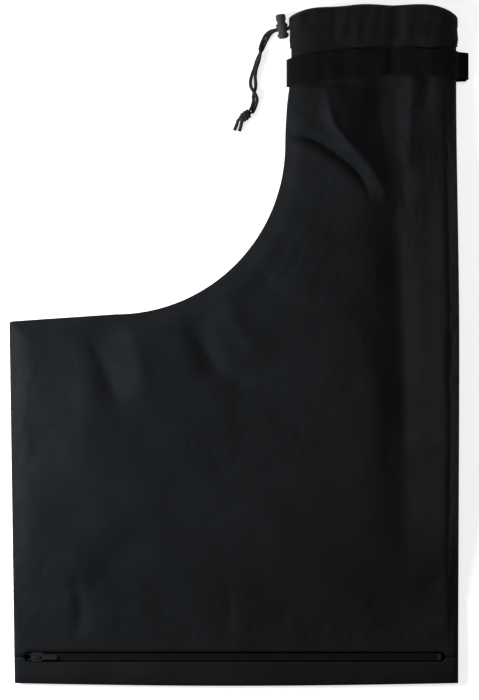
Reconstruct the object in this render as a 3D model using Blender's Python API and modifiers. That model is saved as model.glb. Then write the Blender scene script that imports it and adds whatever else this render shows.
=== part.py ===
"""Collection bag for a garden blower vacuum, lying flat with its zip side up.

The bag is two boot-shaped panels sewn together along the sides and the hem. The neck ends in a
casing with a drawcord and a cord lock, a webbing strap goes round the neck, and a zip with moulded
teeth runs along the hem for emptying. Units are metres, +X is across the bag, +Y runs up the neck
to the mouth, and +Z points up from the table.
"""

import math

import bmesh
import bpy
import numpy as np
from mathutils import Matrix, Vector

# Overall sizes of the bag
BAG_WIDTH = 0.4102
BAG_LENGTH = 0.6200
TOE_HEIGHT = 0.3354
NECK_WIDTH = 0.1580
THROAT_RADIUS = 0.1550
HEM_TAPER = 0.0050
NECK_LEAN = 0.0030
HEM_BOW = 0.0025
TOE_FALL = 0.0065
CINCH = 0.0055

# Fabric and how far the lying bag stands up
FABRIC = 0.0008
GAP = 0.0003
SEAM_HEIGHT = 0.0040
MOUTH_SEAM_RISE = 0.0023
SEAM_RUN = 0.0825
LIFT_RUN = 0.0445
BODY_HEIGHT = 0.0180
NECK_HEIGHT = 0.0200
MOUTH_HEIGHT = 0.0170
BODY_ROLL = 0.0280
NECK_ROLL = 0.0220
BACK_ROLL = 0.0050
STRIP_SIDE_ROLL = 0.0060
STRIP_HEM_ROLL = 0.0140
SEAM_LIP = 0.00035

# Casing round the mouth and the cord in it
CASING_HEIGHT = 0.0380
CASING_OVERLAP = 0.0040
CASING_DROOP = 0.0085
DROOP_LEFT_RUN = 0.0220
DROOP_RIGHT_RUN = 0.0100
CHANNEL_START = 0.0035
CHANNEL_DEPTH = 0.0095
CHANNEL_END = 0.0140
CORD_DIAMETER = 0.0028

# Strap round the neck
STRAP_WIDTH = 0.0245
STRAP_THICKNESS = 0.0012
STRAP_LOOP = 0.0085
STRAP_TO_MOUTH = 0.0520
STRAP_SAG_LEFT = 0.0090
STRAP_SAG_RIGHT = 0.0025
LAP_LENGTH = 0.0900

# Zip
ZIP_TO_HEM = 0.0238
ZIP_TO_LEFT = 0.0114
ZIP_TO_RIGHT = 0.0154
ZIP_HEIGHT = 0.0060
ZIP_REVEAL = 0.0094
ZIP_PITCH = 0.0036
TOOTH_THICKNESS = 0.0024
TOOTH_ROOT = 0.0012
TOOTH_HEAD = 0.0017
TOOTH_REACH = 0.0013
TOOTH_CORD = 0.0012
TAPE_WIDTH = 0.0110
TAPE_THICKNESS = 0.0006
SLIDER_LENGTH = 0.0118
SLIDER_FRONT = 0.0084
SLIDER_TAIL = 0.0082
SLIDER_PLATE = 0.0009
SLIDER_CLEAR = 0.00035
POST_WIDTH = 0.0024
POST_LENGTH = 0.0026
BRIDGE_LENGTH = 0.0064
BRIDGE_WIDTH = 0.0018
BRIDGE_THICKNESS = 0.0008
BRIDGE_WINDOW = 0.0017
PULL_THICKNESS = 0.0008
STOP_LENGTH = 0.0018
STOP_PROUD = 0.0003
PULL_LENGTH = 0.0185
PULL_WIDTH = 0.0050

# Cord lock
LOCK_RADIUS = 0.0054
LOCK_WALL = 0.0010
LOCK_LENGTH = 0.0136
LOCK_TILT = math.radians(8.0)
PLUNGER_LENGTH = 0.0167
PLUNGER_RADIUS = 0.0039
BUTTON_RADIUS = 0.0046
LOCK_TO_SEAM = 0.0018
LOCK_TO_TOP = 0.0303
LOCK_CORD = 0.0086
SPRING_RADIUS = 0.0026
SPRING_WIRE = 0.00020
SPRING_TURNS = 3
PLUNGER_TRAVEL = 0.0025

# Knot and tails
KNOT_FROM_LOCK = (-0.0348, -0.0702, 0.0043)
KNOT_LENGTH = 0.0126
KNOT_WIDTH = 0.0104
KNOT_FLATTENING = 0.82
KNOT_HEADING = math.radians(38.5)
KNOT_WRAPS = 3

# Rows and columns of the panels
FRONT_ROWS = 40
FRONT_COLUMNS = 28
BACK_ROWS = 24
BACK_COLUMNS = 14
BACK_FLAT_ROWS = 4
STRIP_COLUMNS = 30
STRIP_ROWS = 6
TOE_SHARE = 0.30
THROAT_SHARE = 0.45
FRONT_ROLL_COLUMNS = 3
BACK_ROLL_COLUMNS = 2

# Places that follow from the sizes above
HALF_FABRIC = FABRIC / 2
CORD_RADIUS = CORD_DIAMETER / 2
RIGHT_X = (BAG_WIDTH - STRAP_LOOP) / 2 - HALF_FABRIC
LEFT_X = -(BAG_WIDTH + STRAP_LOOP) / 2 + HALF_FABRIC
TOP_Y = BAG_LENGTH / 2
BOTTOM_Y = -BAG_LENGTH / 2 + HALF_FABRIC + HEM_BOW
TOE_Y = BOTTOM_Y + TOE_HEIGHT
NECK_LEFT_X = RIGHT_X - NECK_WIDTH
THROAT_X = NECK_LEFT_X - THROAT_RADIUS
THROAT_Y = TOE_Y + THROAT_RADIUS
PANEL_TOP_Y = TOP_Y - CASING_HEIGHT + CASING_OVERLAP
STRAP_Y = TOP_Y - STRAP_TO_MOUTH
ZIP_Y = BOTTOM_Y + ZIP_TO_HEM
ZIP_LEFT = LEFT_X + HEM_TAPER + ZIP_TO_LEFT
ZIP_RIGHT = RIGHT_X - ZIP_TO_RIGHT
UPPER_HEM_Y = ZIP_Y + ZIP_REVEAL / 2
LOWER_HEM_Y = ZIP_Y - ZIP_REVEAL / 2
HEM_Z = ZIP_HEIGHT + TAPE_THICKNESS / 2 + GAP + HALF_FABRIC
STRAP_STACK = 2 * (STRAP_THICKNESS + GAP)
CHANNEL = CORD_RADIUS + 0.0002 + HALF_FABRIC
CORD_DEPTH = (CHANNEL_START + CHANNEL_DEPTH) / 2 - 0.0003
LOCK_BASE = Vector((NECK_LEFT_X - LOCK_TO_SEAM, TOP_Y - LOCK_TO_TOP, 0.0))
LOCK_AXIS = Vector((-math.sin(LOCK_TILT), math.cos(LOCK_TILT), 0.0))
LOCK_ACROSS = Vector((math.cos(LOCK_TILT), math.sin(LOCK_TILT), 0.0))
CORD_STACK = CORD_RADIUS + GAP / 2
LOCK_CENTRE = LOCK_BASE + Vector((0, 0, LOCK_RADIUS)) + LOCK_AXIS * LOCK_CORD
TOOTH_INNER = TOOTH_REACH + GAP
TOOTH_OUTER = TOOTH_INNER + TOOTH_CORD
TAPE_INNER = TOOTH_OUTER + GAP
SLIDER_START = ZIP_LEFT + 0.0030
SLIDER_X = SLIDER_START + SLIDER_LENGTH / 2

# Routes of the cord's two free ends along the table, from the lock's base to the knot, and the tails
UPPER_ROUTE = (
    (-0.0099, 0.0072, 0.0066),
    (-0.0137, 0.0057, 0.0049),
    (-0.0167, 0.0029, 0.0030),
    (-0.0188, -0.0011, 0.0020),
    (-0.0204, -0.0051, 0.0021),
    (-0.0214, -0.0088, 0.0037),
    (-0.0211, -0.0124, 0.0045),
    (-0.0225, -0.0200, 0.0040),
    (-0.0248, -0.0273, 0.0039),
    (-0.0258, -0.0345, 0.0024),
    (-0.0254, -0.0397, 0.0014),
    (-0.0255, -0.0442, 0.0014),
    (-0.0268, -0.0488, 0.0014),
    (-0.0276, -0.0524, 0.0014),
    (-0.0274, -0.0565, 0.0014),
    (-0.0289, -0.0619, 0.0015),
    (-0.0303, -0.0646, 0.0027),
)
LOWER_ROUTE = (
    (-0.0095, 0.0066, 0.0033),
    (-0.0123, 0.0041, 0.0020),
    (-0.0145, 0.0005, 0.0014),
    (-0.0165, -0.0033, 0.0014),
    (-0.0179, -0.0065, 0.0014),
    (-0.0192, -0.0093, 0.0014),
    (-0.0211, -0.0124, 0.0014),
    (-0.0243, -0.0194, 0.0014),
    (-0.0266, -0.0267, 0.0014),
    (-0.0292, -0.0339, 0.0014),
    (-0.0302, -0.0397, 0.0014),
    (-0.0295, -0.0442, 0.0023),
    (-0.0268, -0.0488, 0.0045),
    (-0.0248, -0.0525, 0.0035),
    (-0.0241, -0.0561, 0.0020),
    (-0.0261, -0.0630, 0.0015),
    (-0.0284, -0.0673, 0.0029),
)
LEFT_TAIL = ((-0.0411, -0.0739, 0.0032), (-0.0425, -0.0777, 0.0022), (-0.0448, -0.0834, 0.0014))
RIGHT_TAIL = ((-0.0382, -0.0762, 0.0032), (-0.0390, -0.0799, 0.0022), (-0.0404, -0.0843, 0.0014))

# Creases and ridges of the front, each from one point to another with a half width and a height
FOLDS = (
    ((RIGHT_X - 0.057, STRAP_Y - 0.030), (RIGHT_X - 0.049, ZIP_Y + 0.052), 0.017, -0.0040),
    ((RIGHT_X - 0.017, STRAP_Y - 0.098), (RIGHT_X - 0.016, ZIP_Y + 0.052), 0.008, 0.0022),
    ((RIGHT_X - 0.072, STRAP_Y - 0.020), (RIGHT_X - 0.092, STRAP_Y - 0.088), 0.017, -0.0050),
    ((NECK_LEFT_X + 0.043, STRAP_Y - 0.022), (RIGHT_X - 0.080, STRAP_Y - 0.118), 0.009, 0.0024),
    ((RIGHT_X - 0.043, STRAP_Y - 0.018), (RIGHT_X - 0.050, STRAP_Y - 0.113), 0.006, 0.0030),
    ((RIGHT_X - 0.029, STRAP_Y - 0.018), (RIGHT_X - 0.031, STRAP_Y - 0.053), 0.006, -0.0026),
    ((NECK_LEFT_X + 0.005, STRAP_Y - 0.062), (RIGHT_X - 0.084, STRAP_Y - 0.106), 0.006, -0.0026),
    ((RIGHT_X - 0.061, STRAP_Y + 0.072), (RIGHT_X - 0.061, STRAP_Y - 0.003), 0.006, -0.0022),
    ((NECK_LEFT_X + 0.026, STRAP_Y + 0.072), (NECK_LEFT_X + 0.029, STRAP_Y + 0.004), 0.008, 0.0008),
    ((RIGHT_X - 0.090, STRAP_Y + 0.072), (RIGHT_X - 0.094, STRAP_Y + 0.004), 0.009, 0.0010),
    ((RIGHT_X - 0.022, STRAP_Y + 0.072), (RIGHT_X - 0.024, STRAP_Y + 0.004), 0.008, 0.0012),
    ((THROAT_X + 0.133, TOE_Y + 0.057), (THROAT_X + 0.083, TOE_Y - 0.023), 0.020, 0.0022),
    ((LEFT_X + 0.091, TOE_Y - 0.013), (LEFT_X + 0.097, TOE_Y - 0.088), 0.013, -0.0018),
    ((THROAT_X + 0.080, TOE_Y - 0.008), (THROAT_X + 0.090, TOE_Y - 0.073), 0.012, -0.0018),
    ((LEFT_X + 0.063, ZIP_Y + 0.068), (LEFT_X + 0.067, ZIP_Y + 0.021), 0.006, -0.0012),
    ((THROAT_X + 0.133, TOE_Y - 0.108), (NECK_LEFT_X + 0.028, ZIP_Y + 0.083), 0.030, -0.0018),
)


def clear_scene():
    """Starts from an empty scene."""
    for thing in list(bpy.data.objects):
        bpy.data.objects.remove(thing, do_unlink=True)


def new_collection(name):
    """A collection linked to the scene."""
    made = bpy.data.collections.new(name)
    bpy.context.scene.collection.children.link(made)
    return made


def material(name, colour, roughness, metallic=0.0):
    """A plain Principled material."""
    made = bpy.data.materials.new(name)
    made.use_nodes = True
    shader = made.node_tree.nodes["Principled BSDF"]
    shader.inputs["Base Color"].default_value = (*colour, 1.0)
    shader.inputs["Roughness"].default_value = roughness
    shader.inputs["Metallic"].default_value = metallic
    return made


def smooth(start, end, value):
    """0 before start, 1 after end, and a smooth step between them."""
    t = min(max((value - start) / (end - start), 0.0), 1.0)
    return t * t * (3.0 - 2.0 * t)


def mix(low, high, share):
    return low + (high - low) * share


# Outline of the bag


def right_x(y):
    """Right side seam: it leans in towards the mouth and a little towards the hem."""
    return RIGHT_X - NECK_LEAN * smooth(0.0, STRAP_Y, y) - HEM_TAPER / 5 * smooth(0.0, BOTTOM_Y, y)


def left_x(y):
    """Left side seam of the body, leaning in towards the hem."""
    return LEFT_X + HEM_TAPER * (TOE_Y - y) / (TOE_Y - BOTTOM_Y)


def neck_left_x(y):
    """Left side seam of the neck, drawn in where the strap and the cord hold it."""
    lower = STRAP_Y - STRAP_WIDTH
    return NECK_LEFT_X + CINCH * (0.35 * smooth(THROAT_Y, lower, y) + 0.65 * smooth(lower - 0.02, STRAP_Y, y))


def left_path(v):
    """Point of the left boundary: side seam, toe top, throat arc, then neck seam."""
    corner = Vector((left_x(TOE_Y - TOE_FALL), TOE_Y - TOE_FALL))
    if v <= TOE_SHARE:
        y = mix(UPPER_HEM_Y, corner.y, v / TOE_SHARE)
        return Vector((left_x(y), y))
    if v <= TOE_SHARE + THROAT_SHARE:
        arc_start = Vector((THROAT_X, TOE_Y))
        straight = (arc_start - corner).length
        arc = THROAT_RADIUS * math.pi / 2
        run = (v - TOE_SHARE) / THROAT_SHARE * (straight + arc)
        if run < straight:
            return corner.lerp(arc_start, run / straight)
        angle = -math.pi / 2 + (run - straight) / THROAT_RADIUS
        away = Vector((math.cos(angle), math.sin(angle)))
        return Vector((THROAT_X, THROAT_Y)) + THROAT_RADIUS * away
    y = mix(THROAT_Y, PANEL_TOP_Y, (v - TOE_SHARE - THROAT_SHARE) / (1.0 - TOE_SHARE - THROAT_SHARE))
    return Vector((neck_left_x(y), y))


def right_path(v):
    """Point of the right boundary that a row from left_path(v) runs to."""
    opposite_toe = mix(UPPER_HEM_Y, TOE_Y, 0.50)
    if v <= TOE_SHARE:
        y = mix(UPPER_HEM_Y, opposite_toe, v / TOE_SHARE)
    elif v <= TOE_SHARE + THROAT_SHARE:
        y = mix(opposite_toe, THROAT_Y, (v - TOE_SHARE) / THROAT_SHARE)
    else:
        y = left_path(v).y
    return Vector((right_x(y), y))


def slant(v):
    """Sine of the angle between a row and the left boundary where they meet."""
    step = 0.002
    edge = (left_path(min(v + step, 1.0)) - left_path(max(v - step, 0.0))).normalized()
    row = (right_path(v) - left_path(v)).normalized()
    return max(abs(edge.x * row.y - edge.y * row.x), 0.3)


def crowded(u, share, length, left_roll, right_roll):
    """Distance along a row, with the first and last share of its columns crowded towards the seams."""
    if u < share:
        return left_roll * (1 - math.cos(math.pi / 2 * u / share))
    if u > 1 - share:
        return length - right_roll * (1 - math.cos(math.pi / 2 * (1 - u) / share))
    return mix(left_roll, length - right_roll, (u - share) / (1 - 2 * share))


def fitted_to_zip(u, share, columns, left, right):
    """Place along a row by the zip: like crowded, with one column's edge at each end of the zip."""
    plain = crowded(u, share, right - left, STRIP_SIDE_ROLL, STRIP_SIDE_ROLL)
    step = 1 / columns
    if u <= share or u >= 1 - share:
        return plain
    if u < share + step:
        return mix(STRIP_SIDE_ROLL, ZIP_LEFT - left, (u - share) / step)
    if u > 1 - share - step:
        return mix(ZIP_RIGHT - left, right - left - STRIP_SIDE_ROLL, (u - 1 + share + step) / step)
    return mix(ZIP_LEFT - left, ZIP_RIGHT - left, (u - share - step) / (1 - 2 * share - 2 * step))


def front_point(u, v):
    """Plan position on the front: rows fan round the throat."""
    left, right = left_path(v), right_path(v)
    length = (right - left).length
    share = FRONT_ROLL_COLUMNS / FRONT_COLUMNS
    along = crowded(u, share, length, front_roll(left.y) / slant(v), front_roll(right.y))
    by_zip = fitted_to_zip(u, share, FRONT_COLUMNS, left.x, right.x)
    along = mix(by_zip, along, smooth(0.0, TOE_SHARE / 2, v))
    return left.lerp(right, along / length)


def back_point(u, v):
    """Plan position on the back above the zip."""
    left, right = left_path(v), right_path(v)
    length = (right - left).length
    share = BACK_ROLL_COLUMNS / BACK_COLUMNS
    along = crowded(u, share, length, BACK_ROLL / slant(v), BACK_ROLL)
    return left.lerp(right, along / length)


def boundary():
    """Ends of the short straight pieces of both side boundaries."""
    count = 160
    left = [left_path(i / count) for i in range(count + 1)]
    right = [right_path(i / count) for i in range(count + 1)]
    starts = np.array(left[:-1] + right[:-1])
    ends = np.array(left[1:] + right[1:])
    return starts, ends


BOUNDARY_STARTS, BOUNDARY_ENDS = boundary()


def edge_distance(x, y):
    """How far a point of the plan is from the nearest side boundary."""
    run = BOUNDARY_ENDS - BOUNDARY_STARTS
    away = np.array((x, y)) - BOUNDARY_STARTS
    share = np.clip((away * run).sum(1) / (run * run).sum(1), 0.0, 1.0)
    return float(np.linalg.norm(away - share[:, None] * run, axis=1).min())


# Heights of the two panels


def seam_z(y):
    """Height of the side seam, which rises to the middle of the open mouth."""
    end = STRAP_Y - STRAP_WIDTH / 2
    return SEAM_HEIGHT + MOUTH_SEAM_RISE * smooth(end - SEAM_RUN, end, y)


def front_roll(y):
    """Width of the rounded edge of the front."""
    wide = mix(BODY_ROLL, NECK_ROLL, smooth(0.0, THROAT_Y, y))
    return mix(STRIP_SIDE_ROLL, wide, smooth(UPPER_HEM_Y, UPPER_HEM_Y + 0.06, y))


def plateau(y):
    """Height of the front away from its edges."""
    body = mix(HEM_Z, BODY_HEIGHT, smooth(UPPER_HEM_Y, UPPER_HEM_Y + 0.07, y))
    neck = mix(body, NECK_HEIGHT, smooth(0.02, 0.12, y))
    return mix(neck, MOUTH_HEIGHT, smooth(STRAP_Y - 0.060, STRAP_Y - STRAP_WIDTH / 2 - 0.004, y))


def fold_height(x, y):
    """Height that the creases and ridges add at a point."""
    total = 0.0
    for start, end, width, height in FOLDS:
        line = Vector(end) - Vector(start)
        away = Vector((x, y)) - Vector(start)
        along = away.dot(line) / line.length_squared
        across = (away - line * min(max(along, 0.0), 1.0)).length
        total += height * math.exp(-((across / width) ** 2))
    return total


def rounded(distance, width):
    """Quarter of an ellipse: 0 at the edge with an upright start, 1 from width on."""
    share = min(distance / width, 1.0)
    return math.sqrt(max(0.0, 1.0 - (1.0 - share) ** 2))


def front_z(x, y):
    """Height of the middle of the front fabric."""
    rise = rounded(edge_distance(x, y), front_roll(y))
    calm = smooth(UPPER_HEM_Y, UPPER_HEM_Y + 0.02, y) * rise
    return mix(seam_z(y), plateau(y), rise) + fold_height(x, y) * calm


def back_middle(y):
    """Height of the back away from its edges: flat, and lifted where the strap passes under it."""
    lifted = STRAP_STACK + HALF_FABRIC
    end = STRAP_Y - STRAP_WIDTH / 2 - 0.008
    return mix(HALF_FABRIC, lifted, smooth(end - LIFT_RUN, end, y))


def back_z(x, y):
    """Height of the middle of the back fabric."""
    rise = rounded(edge_distance(x, y), BACK_ROLL)
    return mix(seam_z(y), back_middle(y), rise)


# Helpers that make objects


def add_object(name, mesh, collection, look):
    """An object with one material in the collection."""
    made = bpy.data.objects.new(name, mesh)
    made.data.materials.append(look)
    collection.objects.link(made)
    return made


def sheet(name, columns, rows, place, thickness, collection, look, ring=False, left_out=()):
    """A grid bent into shape by place(u, v), closed round if it is a ring, thickened to both sides."""
    bm = bmesh.new()
    bmesh.ops.create_grid(bm, x_segments=columns, y_segments=rows, size=0.5)
    holes = []
    for face in bm.faces:
        middle = face.calc_center_median()
        if (int((middle.x + 0.5) * columns), int((middle.y + 0.5) * rows)) in left_out:
            holes.append(face)
    bmesh.ops.delete(bm, geom=holes, context="FACES")
    for vertex in bm.verts:
        vertex.co = place(vertex.co.x + 0.5, vertex.co.y + 0.5)
    if ring:
        bmesh.ops.remove_doubles(bm, verts=bm.verts, dist=0.000001)
    mesh = bpy.data.meshes.new(name)
    bm.to_mesh(mesh)
    bm.free()
    mesh.shade_smooth()
    made = add_object(name, mesh, collection, look)
    shell = made.modifiers.new("Thickness", "SOLIDIFY")
    shell.thickness = thickness
    shell.offset = 0.0
    shell.use_even_offset = True
    return made


def smooth_line(route, spacing):
    """Evenly spaced points of a smooth curve through the route's points."""
    points = [Vector(p) for p in route]
    points = [2 * points[0] - points[1], *points, 2 * points[-1] - points[-2]]
    dense = []
    for a, b, c, d in zip(points, points[1:], points[2:], points[3:]):
        for step in range(16):
            t = step / 16
            dense.append(
                b + 0.5 * t * ((c - a) + (2 * a - 5 * b + 4 * c - d) * t + (3 * b - a - 3 * c + d) * t**2)
            )
    dense.append(points[-2])
    reach = [0.0]
    for a, b in zip(dense, dense[1:]):
        reach.append(reach[-1] + (b - a).length)
    count = max(2, round(reach[-1] / spacing) + 1)
    line, at = [], 0
    for i in range(count):
        wanted = reach[-1] * i / (count - 1)
        while at < len(reach) - 2 and reach[at + 1] < wanted:
            at += 1
        line.append(dense[at].lerp(dense[at + 1], (wanted - reach[at]) / (reach[at + 1] - reach[at])))
    return line


def tube(name, line, radius, collection, look, bevel_resolution=2):
    """A round cord or wire along a line."""
    curve = bpy.data.curves.new(name, "CURVE")
    curve.dimensions = "3D"
    curve.bevel_depth = radius
    curve.bevel_resolution = bevel_resolution
    curve.use_fill_caps = True
    spline = curve.splines.new("POLY")
    spline.points.add(len(line) - 1)
    for point, place in zip(spline.points, line):
        point.co = (*place, 1.0)
    return add_object(name, curve, collection, look)


def plate(name, outlines, thickness, collection, look):
    """Flat outlines, an outer one and any holes, given thickness to both sides of their plane."""
    curve = bpy.data.curves.new(name, "CURVE")
    curve.dimensions = "2D"
    curve.fill_mode = "BOTH"
    curve.extrude = thickness / 2
    for outline in outlines:
        spline = curve.splines.new("POLY")
        spline.points.add(len(outline) - 1)
        for point, place in zip(spline.points, outline):
            point.co = (place[0], place[1], 0.0, 1.0)
        spline.use_cyclic_u = True
    return add_object(name, curve, collection, look)


def as_mesh(made):
    """The object turned from a curve into a closed mesh in the same place."""
    bpy.context.view_layer.update()
    graph = bpy.context.evaluated_depsgraph_get()
    mesh = bpy.data.meshes.new_from_object(made.evaluated_get(graph))
    bm = bmesh.new()
    bm.from_mesh(mesh)
    bmesh.ops.remove_doubles(bm, verts=bm.verts, dist=0.000001)
    bmesh.ops.recalc_face_normals(bm, faces=bm.faces)
    bm.to_mesh(mesh)
    bm.free()
    name, look, collection = made.name, made.data.materials[0], made.users_collection[0]
    place, parent = made.matrix_world.copy(), made.parent
    bpy.data.objects.remove(made)
    if not mesh.materials:
        mesh.materials.append(look)
    solid = bpy.data.objects.new(name, mesh)
    collection.objects.link(solid)
    solid.parent = parent
    solid.matrix_world = place
    return solid


def box(name, low, high, collection, look):
    """A box between two corners, with its origin at its centre."""
    bm = bmesh.new()
    bmesh.ops.create_cube(bm, size=1.0)
    size = Vector(high) - Vector(low)
    bmesh.ops.scale(bm, vec=size, verts=bm.verts)
    mesh = bpy.data.meshes.new(name)
    bm.to_mesh(mesh)
    bm.free()
    made = add_object(name, mesh, collection, look)
    made.location = (Vector(low) + Vector(high)) / 2
    return made


def turned(name, profile, steps, collection, look):
    """A solid of revolution about its own Z axis. The profile runs down the outer side."""
    mesh = bpy.data.meshes.new(name)
    edges = [(i, i + 1) for i in range(len(profile) - 1)]
    mesh.from_pydata([(radius, 0.0, height) for radius, height in profile], edges, [])
    made = add_object(name, mesh, collection, look)
    screw = made.modifiers.new("Turn", "SCREW")
    screw.steps = steps
    screw.render_steps = steps
    screw.use_merge_vertices = True
    screw.merge_threshold = 0.00001
    screw.use_smooth_shade = True
    return made


def combine(made, other, operation):
    """Joins another solid to this one, or cuts it away, for good."""
    step = made.modifiers.new(operation.title(), "BOOLEAN")
    step.operation = operation
    step.object = other
    step.solver = "EXACT"


def guide(made):
    """Marks an object as a cutter or a helper."""
    made.hide_render = True
    made.display_type = "WIRE"
    return made


# Fabric pieces


def make_panels(bag, looks):
    """The front and back panels and the strip between the zip and the hem."""

    def front(u, v):
        plan = front_point(u, v)
        if v == 0.0:
            plan.y -= hem_closing(plan.x)
        lip = SEAM_LIP if u in (0.0, 1.0) else 0.0
        return Vector((plan.x, plan.y, front_z(plan.x, plan.y) + lip))

    def back(u, v):
        first = BACK_FLAT_ROWS / BACK_ROWS
        if v < first:
            y = mix(BOTTOM_Y, UPPER_HEM_Y, rounded_share(v / first))
            left, right = left_x(y), right_x(y)
            along = crowded(u, BACK_ROLL_COLUMNS / BACK_COLUMNS, right - left, BACK_ROLL, BACK_ROLL)
            plan = Vector((left + along, y - hem_bow(left + along, y)))
            rise = rounded(min(along, right - left - along), BACK_ROLL)
            rise *= rounded(y - BOTTOM_Y, BACK_ROLL)
            z = mix(SEAM_HEIGHT, HALF_FABRIC, rise)
        else:
            plan = back_point(u, (v - first) / (1 - first))
            z = back_z(plan.x, plan.y)
        lip = -SEAM_LIP if u in (0.0, 1.0) or v == 0.0 else 0.0
        return Vector((plan.x, plan.y, z + lip))

    def strip(u, v):
        y = mix(BOTTOM_Y, LOWER_HEM_Y, rounded_share(v))
        left, right = left_x(y), right_x(y)
        along = fitted_to_zip(u, FRONT_ROLL_COLUMNS / STRIP_COLUMNS, STRIP_COLUMNS, left, right)
        x = left + along
        rise = rounded(min(along, right - left - along), STRIP_SIDE_ROLL)
        rise *= rounded(y - BOTTOM_Y, STRIP_HEM_ROLL)
        if v == 1.0:
            y += hem_closing(x)
        lip = SEAM_LIP if u in (0.0, 1.0) or v == 0.0 else 0.0
        return Vector((x, y - hem_bow(x, y), mix(SEAM_HEIGHT, HEM_Z, rise) + lip))

    sheet("front_panel", FRONT_COLUMNS, FRONT_ROWS, front, FABRIC, bag, looks["fabric"])
    sheet("back_panel", BACK_COLUMNS, BACK_ROWS, back, FABRIC, bag, looks["fabric"])
    sheet("bottom_strip", STRIP_COLUMNS, STRIP_ROWS, strip, FABRIC, bag, looks["fabric"])


def rounded_share(share):
    """Rows crowded towards the hem, where the fabric is rounded."""
    return 1 - math.cos(math.pi / 2 * share)


def hem_bow(x, y):
    """How far the hem bows down at its middle."""
    share = (x - LEFT_X) / (RIGHT_X - LEFT_X)
    return HEM_BOW * math.sin(math.pi * share) * smooth(LOWER_HEM_Y, BOTTOM_Y, y)


def hem_closing(x):
    """How far each fabric edge closes over the zip's end."""
    past_end = max(ZIP_LEFT - x, x - ZIP_RIGHT)
    return (ZIP_REVEAL / 2 - GAP) * smooth(0.0, 0.004, past_end)


def casing_top(x):
    """Upper edge of the casing, which droops at both ends."""
    left, right = neck_left_x(PANEL_TOP_Y), right_x(PANEL_TOP_Y)
    droop = math.exp(-(x - left) / DROOP_LEFT_RUN) + 0.9 * math.exp(-(right - x) / DROOP_RIGHT_RUN)
    ripple = 0.0006 * math.sin((x - left) / 0.0085)
    return TOP_Y - CASING_DROOP * min(droop, 1.0) - 0.0006 + ripple


def casing_line():
    """Middle line of the neck's fabric round the mouth, from the cord's gap round to it again."""
    line = []
    for i in range(FRONT_COLUMNS + 1):
        plan = front_point(i / FRONT_COLUMNS, 1.0)
        line.append(Vector((plan.x, front_z(plan.x, plan.y))))
    for i in range(1, BACK_COLUMNS + 1):
        plan = back_point(1 - i / BACK_COLUMNS, 1.0)
        line.append(Vector((plan.x, back_z(plan.x, plan.y))))
    line[0].y += SEAM_LIP
    line[-1].y -= SEAM_LIP
    return line


def line_normals(line):
    """Outward normals of a line that runs over the top and back below, longer at its corners."""
    normals = []
    for i in range(len(line)):
        before = (line[i] - line[i - 1]).normalized() if i > 0 else None
        after = (line[i + 1] - line[i]).normalized() if i < len(line) - 1 else None
        tangent = ((before or after) + (after or before)).normalized()
        stretch = tangent.dot(before or after)
        normals.append(Vector((-tangent.y, tangent.x)) / max(stretch, 0.7))
    return normals


def make_casing(bag, looks):
    """The folded band that holds the drawcord: open downwards, with gaps by the seam for the cord."""
    line = casing_line()
    normals = line_normals(line)
    leg = FABRIC + GAP + 0.0001
    section = ((None, leg), (CHANNEL_END, leg), (CHANNEL_DEPTH, CHANNEL), (CHANNEL_START, CHANNEL))
    section = section + ((0.3 * CHANNEL_START, 0.6 * CHANNEL), (0.0, 0.0))
    section = section + tuple((depth, -out) for depth, out in reversed(section[:-1]))
    low = PANEL_TOP_Y - CASING_OVERLAP

    def place(u, v):
        index = round(u * (len(line) - 1))
        depth, out = section[round(v * (len(section) - 1))]
        at = line[index] + normals[index] * out
        y = low if depth is None else casing_top(line[index].x) - depth
        return Vector((casing_lean(at.x, y), y, at.y))

    columns, rows = len(line) - 1, len(section) - 1
    exits = [(column, row) for column in (0, columns - 2, columns - 1) for row in (1, 2)]
    sheet("drawcord_casing", columns, rows, place, FABRIC, bag, looks["fabric"], left_out=exits)
    return line


def casing_lean(x, y):
    """The casing draws in a little towards its upper edge."""
    low = PANEL_TOP_Y - CASING_OVERLAP
    middle = (neck_left_x(low) + right_x(low)) / 2
    return x - 0.0020 * (y - low) / CASING_HEIGHT * (x - middle) / (NECK_WIDTH / 2)


def channel_point(line, index):
    """Where the cord runs in the casing, beside one point of its line."""
    y = casing_top(line[index].x) - CORD_DEPTH
    return Vector((casing_lean(line[index].x, y), y, line[index].y))


def through_lock(height):
    """Route of one cord straight through the lock, from the casing's side to the free side."""
    places = (LOCK_RADIUS + 0.0002, 0.75 * LOCK_RADIUS, -0.75 * LOCK_RADIUS, -LOCK_RADIUS - 0.0002)
    return tuple(LOCK_CENTRE + LOCK_ACROSS * place + Vector((0, 0, height)) for place in places)


def make_cords(bag, line, looks):
    """The drawcord in the casing, its two free ends, their knot and its tails."""
    inside = [channel_point(line, index) for index in range(1, len(line) - BACK_ROLL_COLUMNS)]
    tube("drawcord", inside, CORD_RADIUS, bag, looks["cord"])
    for name, end, before, height, route in (
        ("cord_strand_upper", inside[0], inside[1], CORD_STACK, UPPER_ROUTE),
        ("cord_strand_lower", inside[-1], inside[-2], -CORD_STACK, LOWER_ROUTE),
    ):
        start = end + (end - before).normalized() * 2 * GAP
        whole = (start, *through_lock(height), *(LOCK_BASE + Vector(point) for point in route))
        line = smooth_line(whole, 0.0035)
        for point in line:
            point.z = max(point.z, CORD_RADIUS)
        tube(name, line, CORD_RADIUS, bag, looks["cord"])
    for name, route in (("cord_tail_left", LEFT_TAIL), ("cord_tail_right", RIGHT_TAIL)):
        line = smooth_line([LOCK_BASE + Vector(point) for point in route], 0.004)
        tube(name, line, CORD_RADIUS, bag, looks["cord"])
    make_knot(bag, looks)


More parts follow.
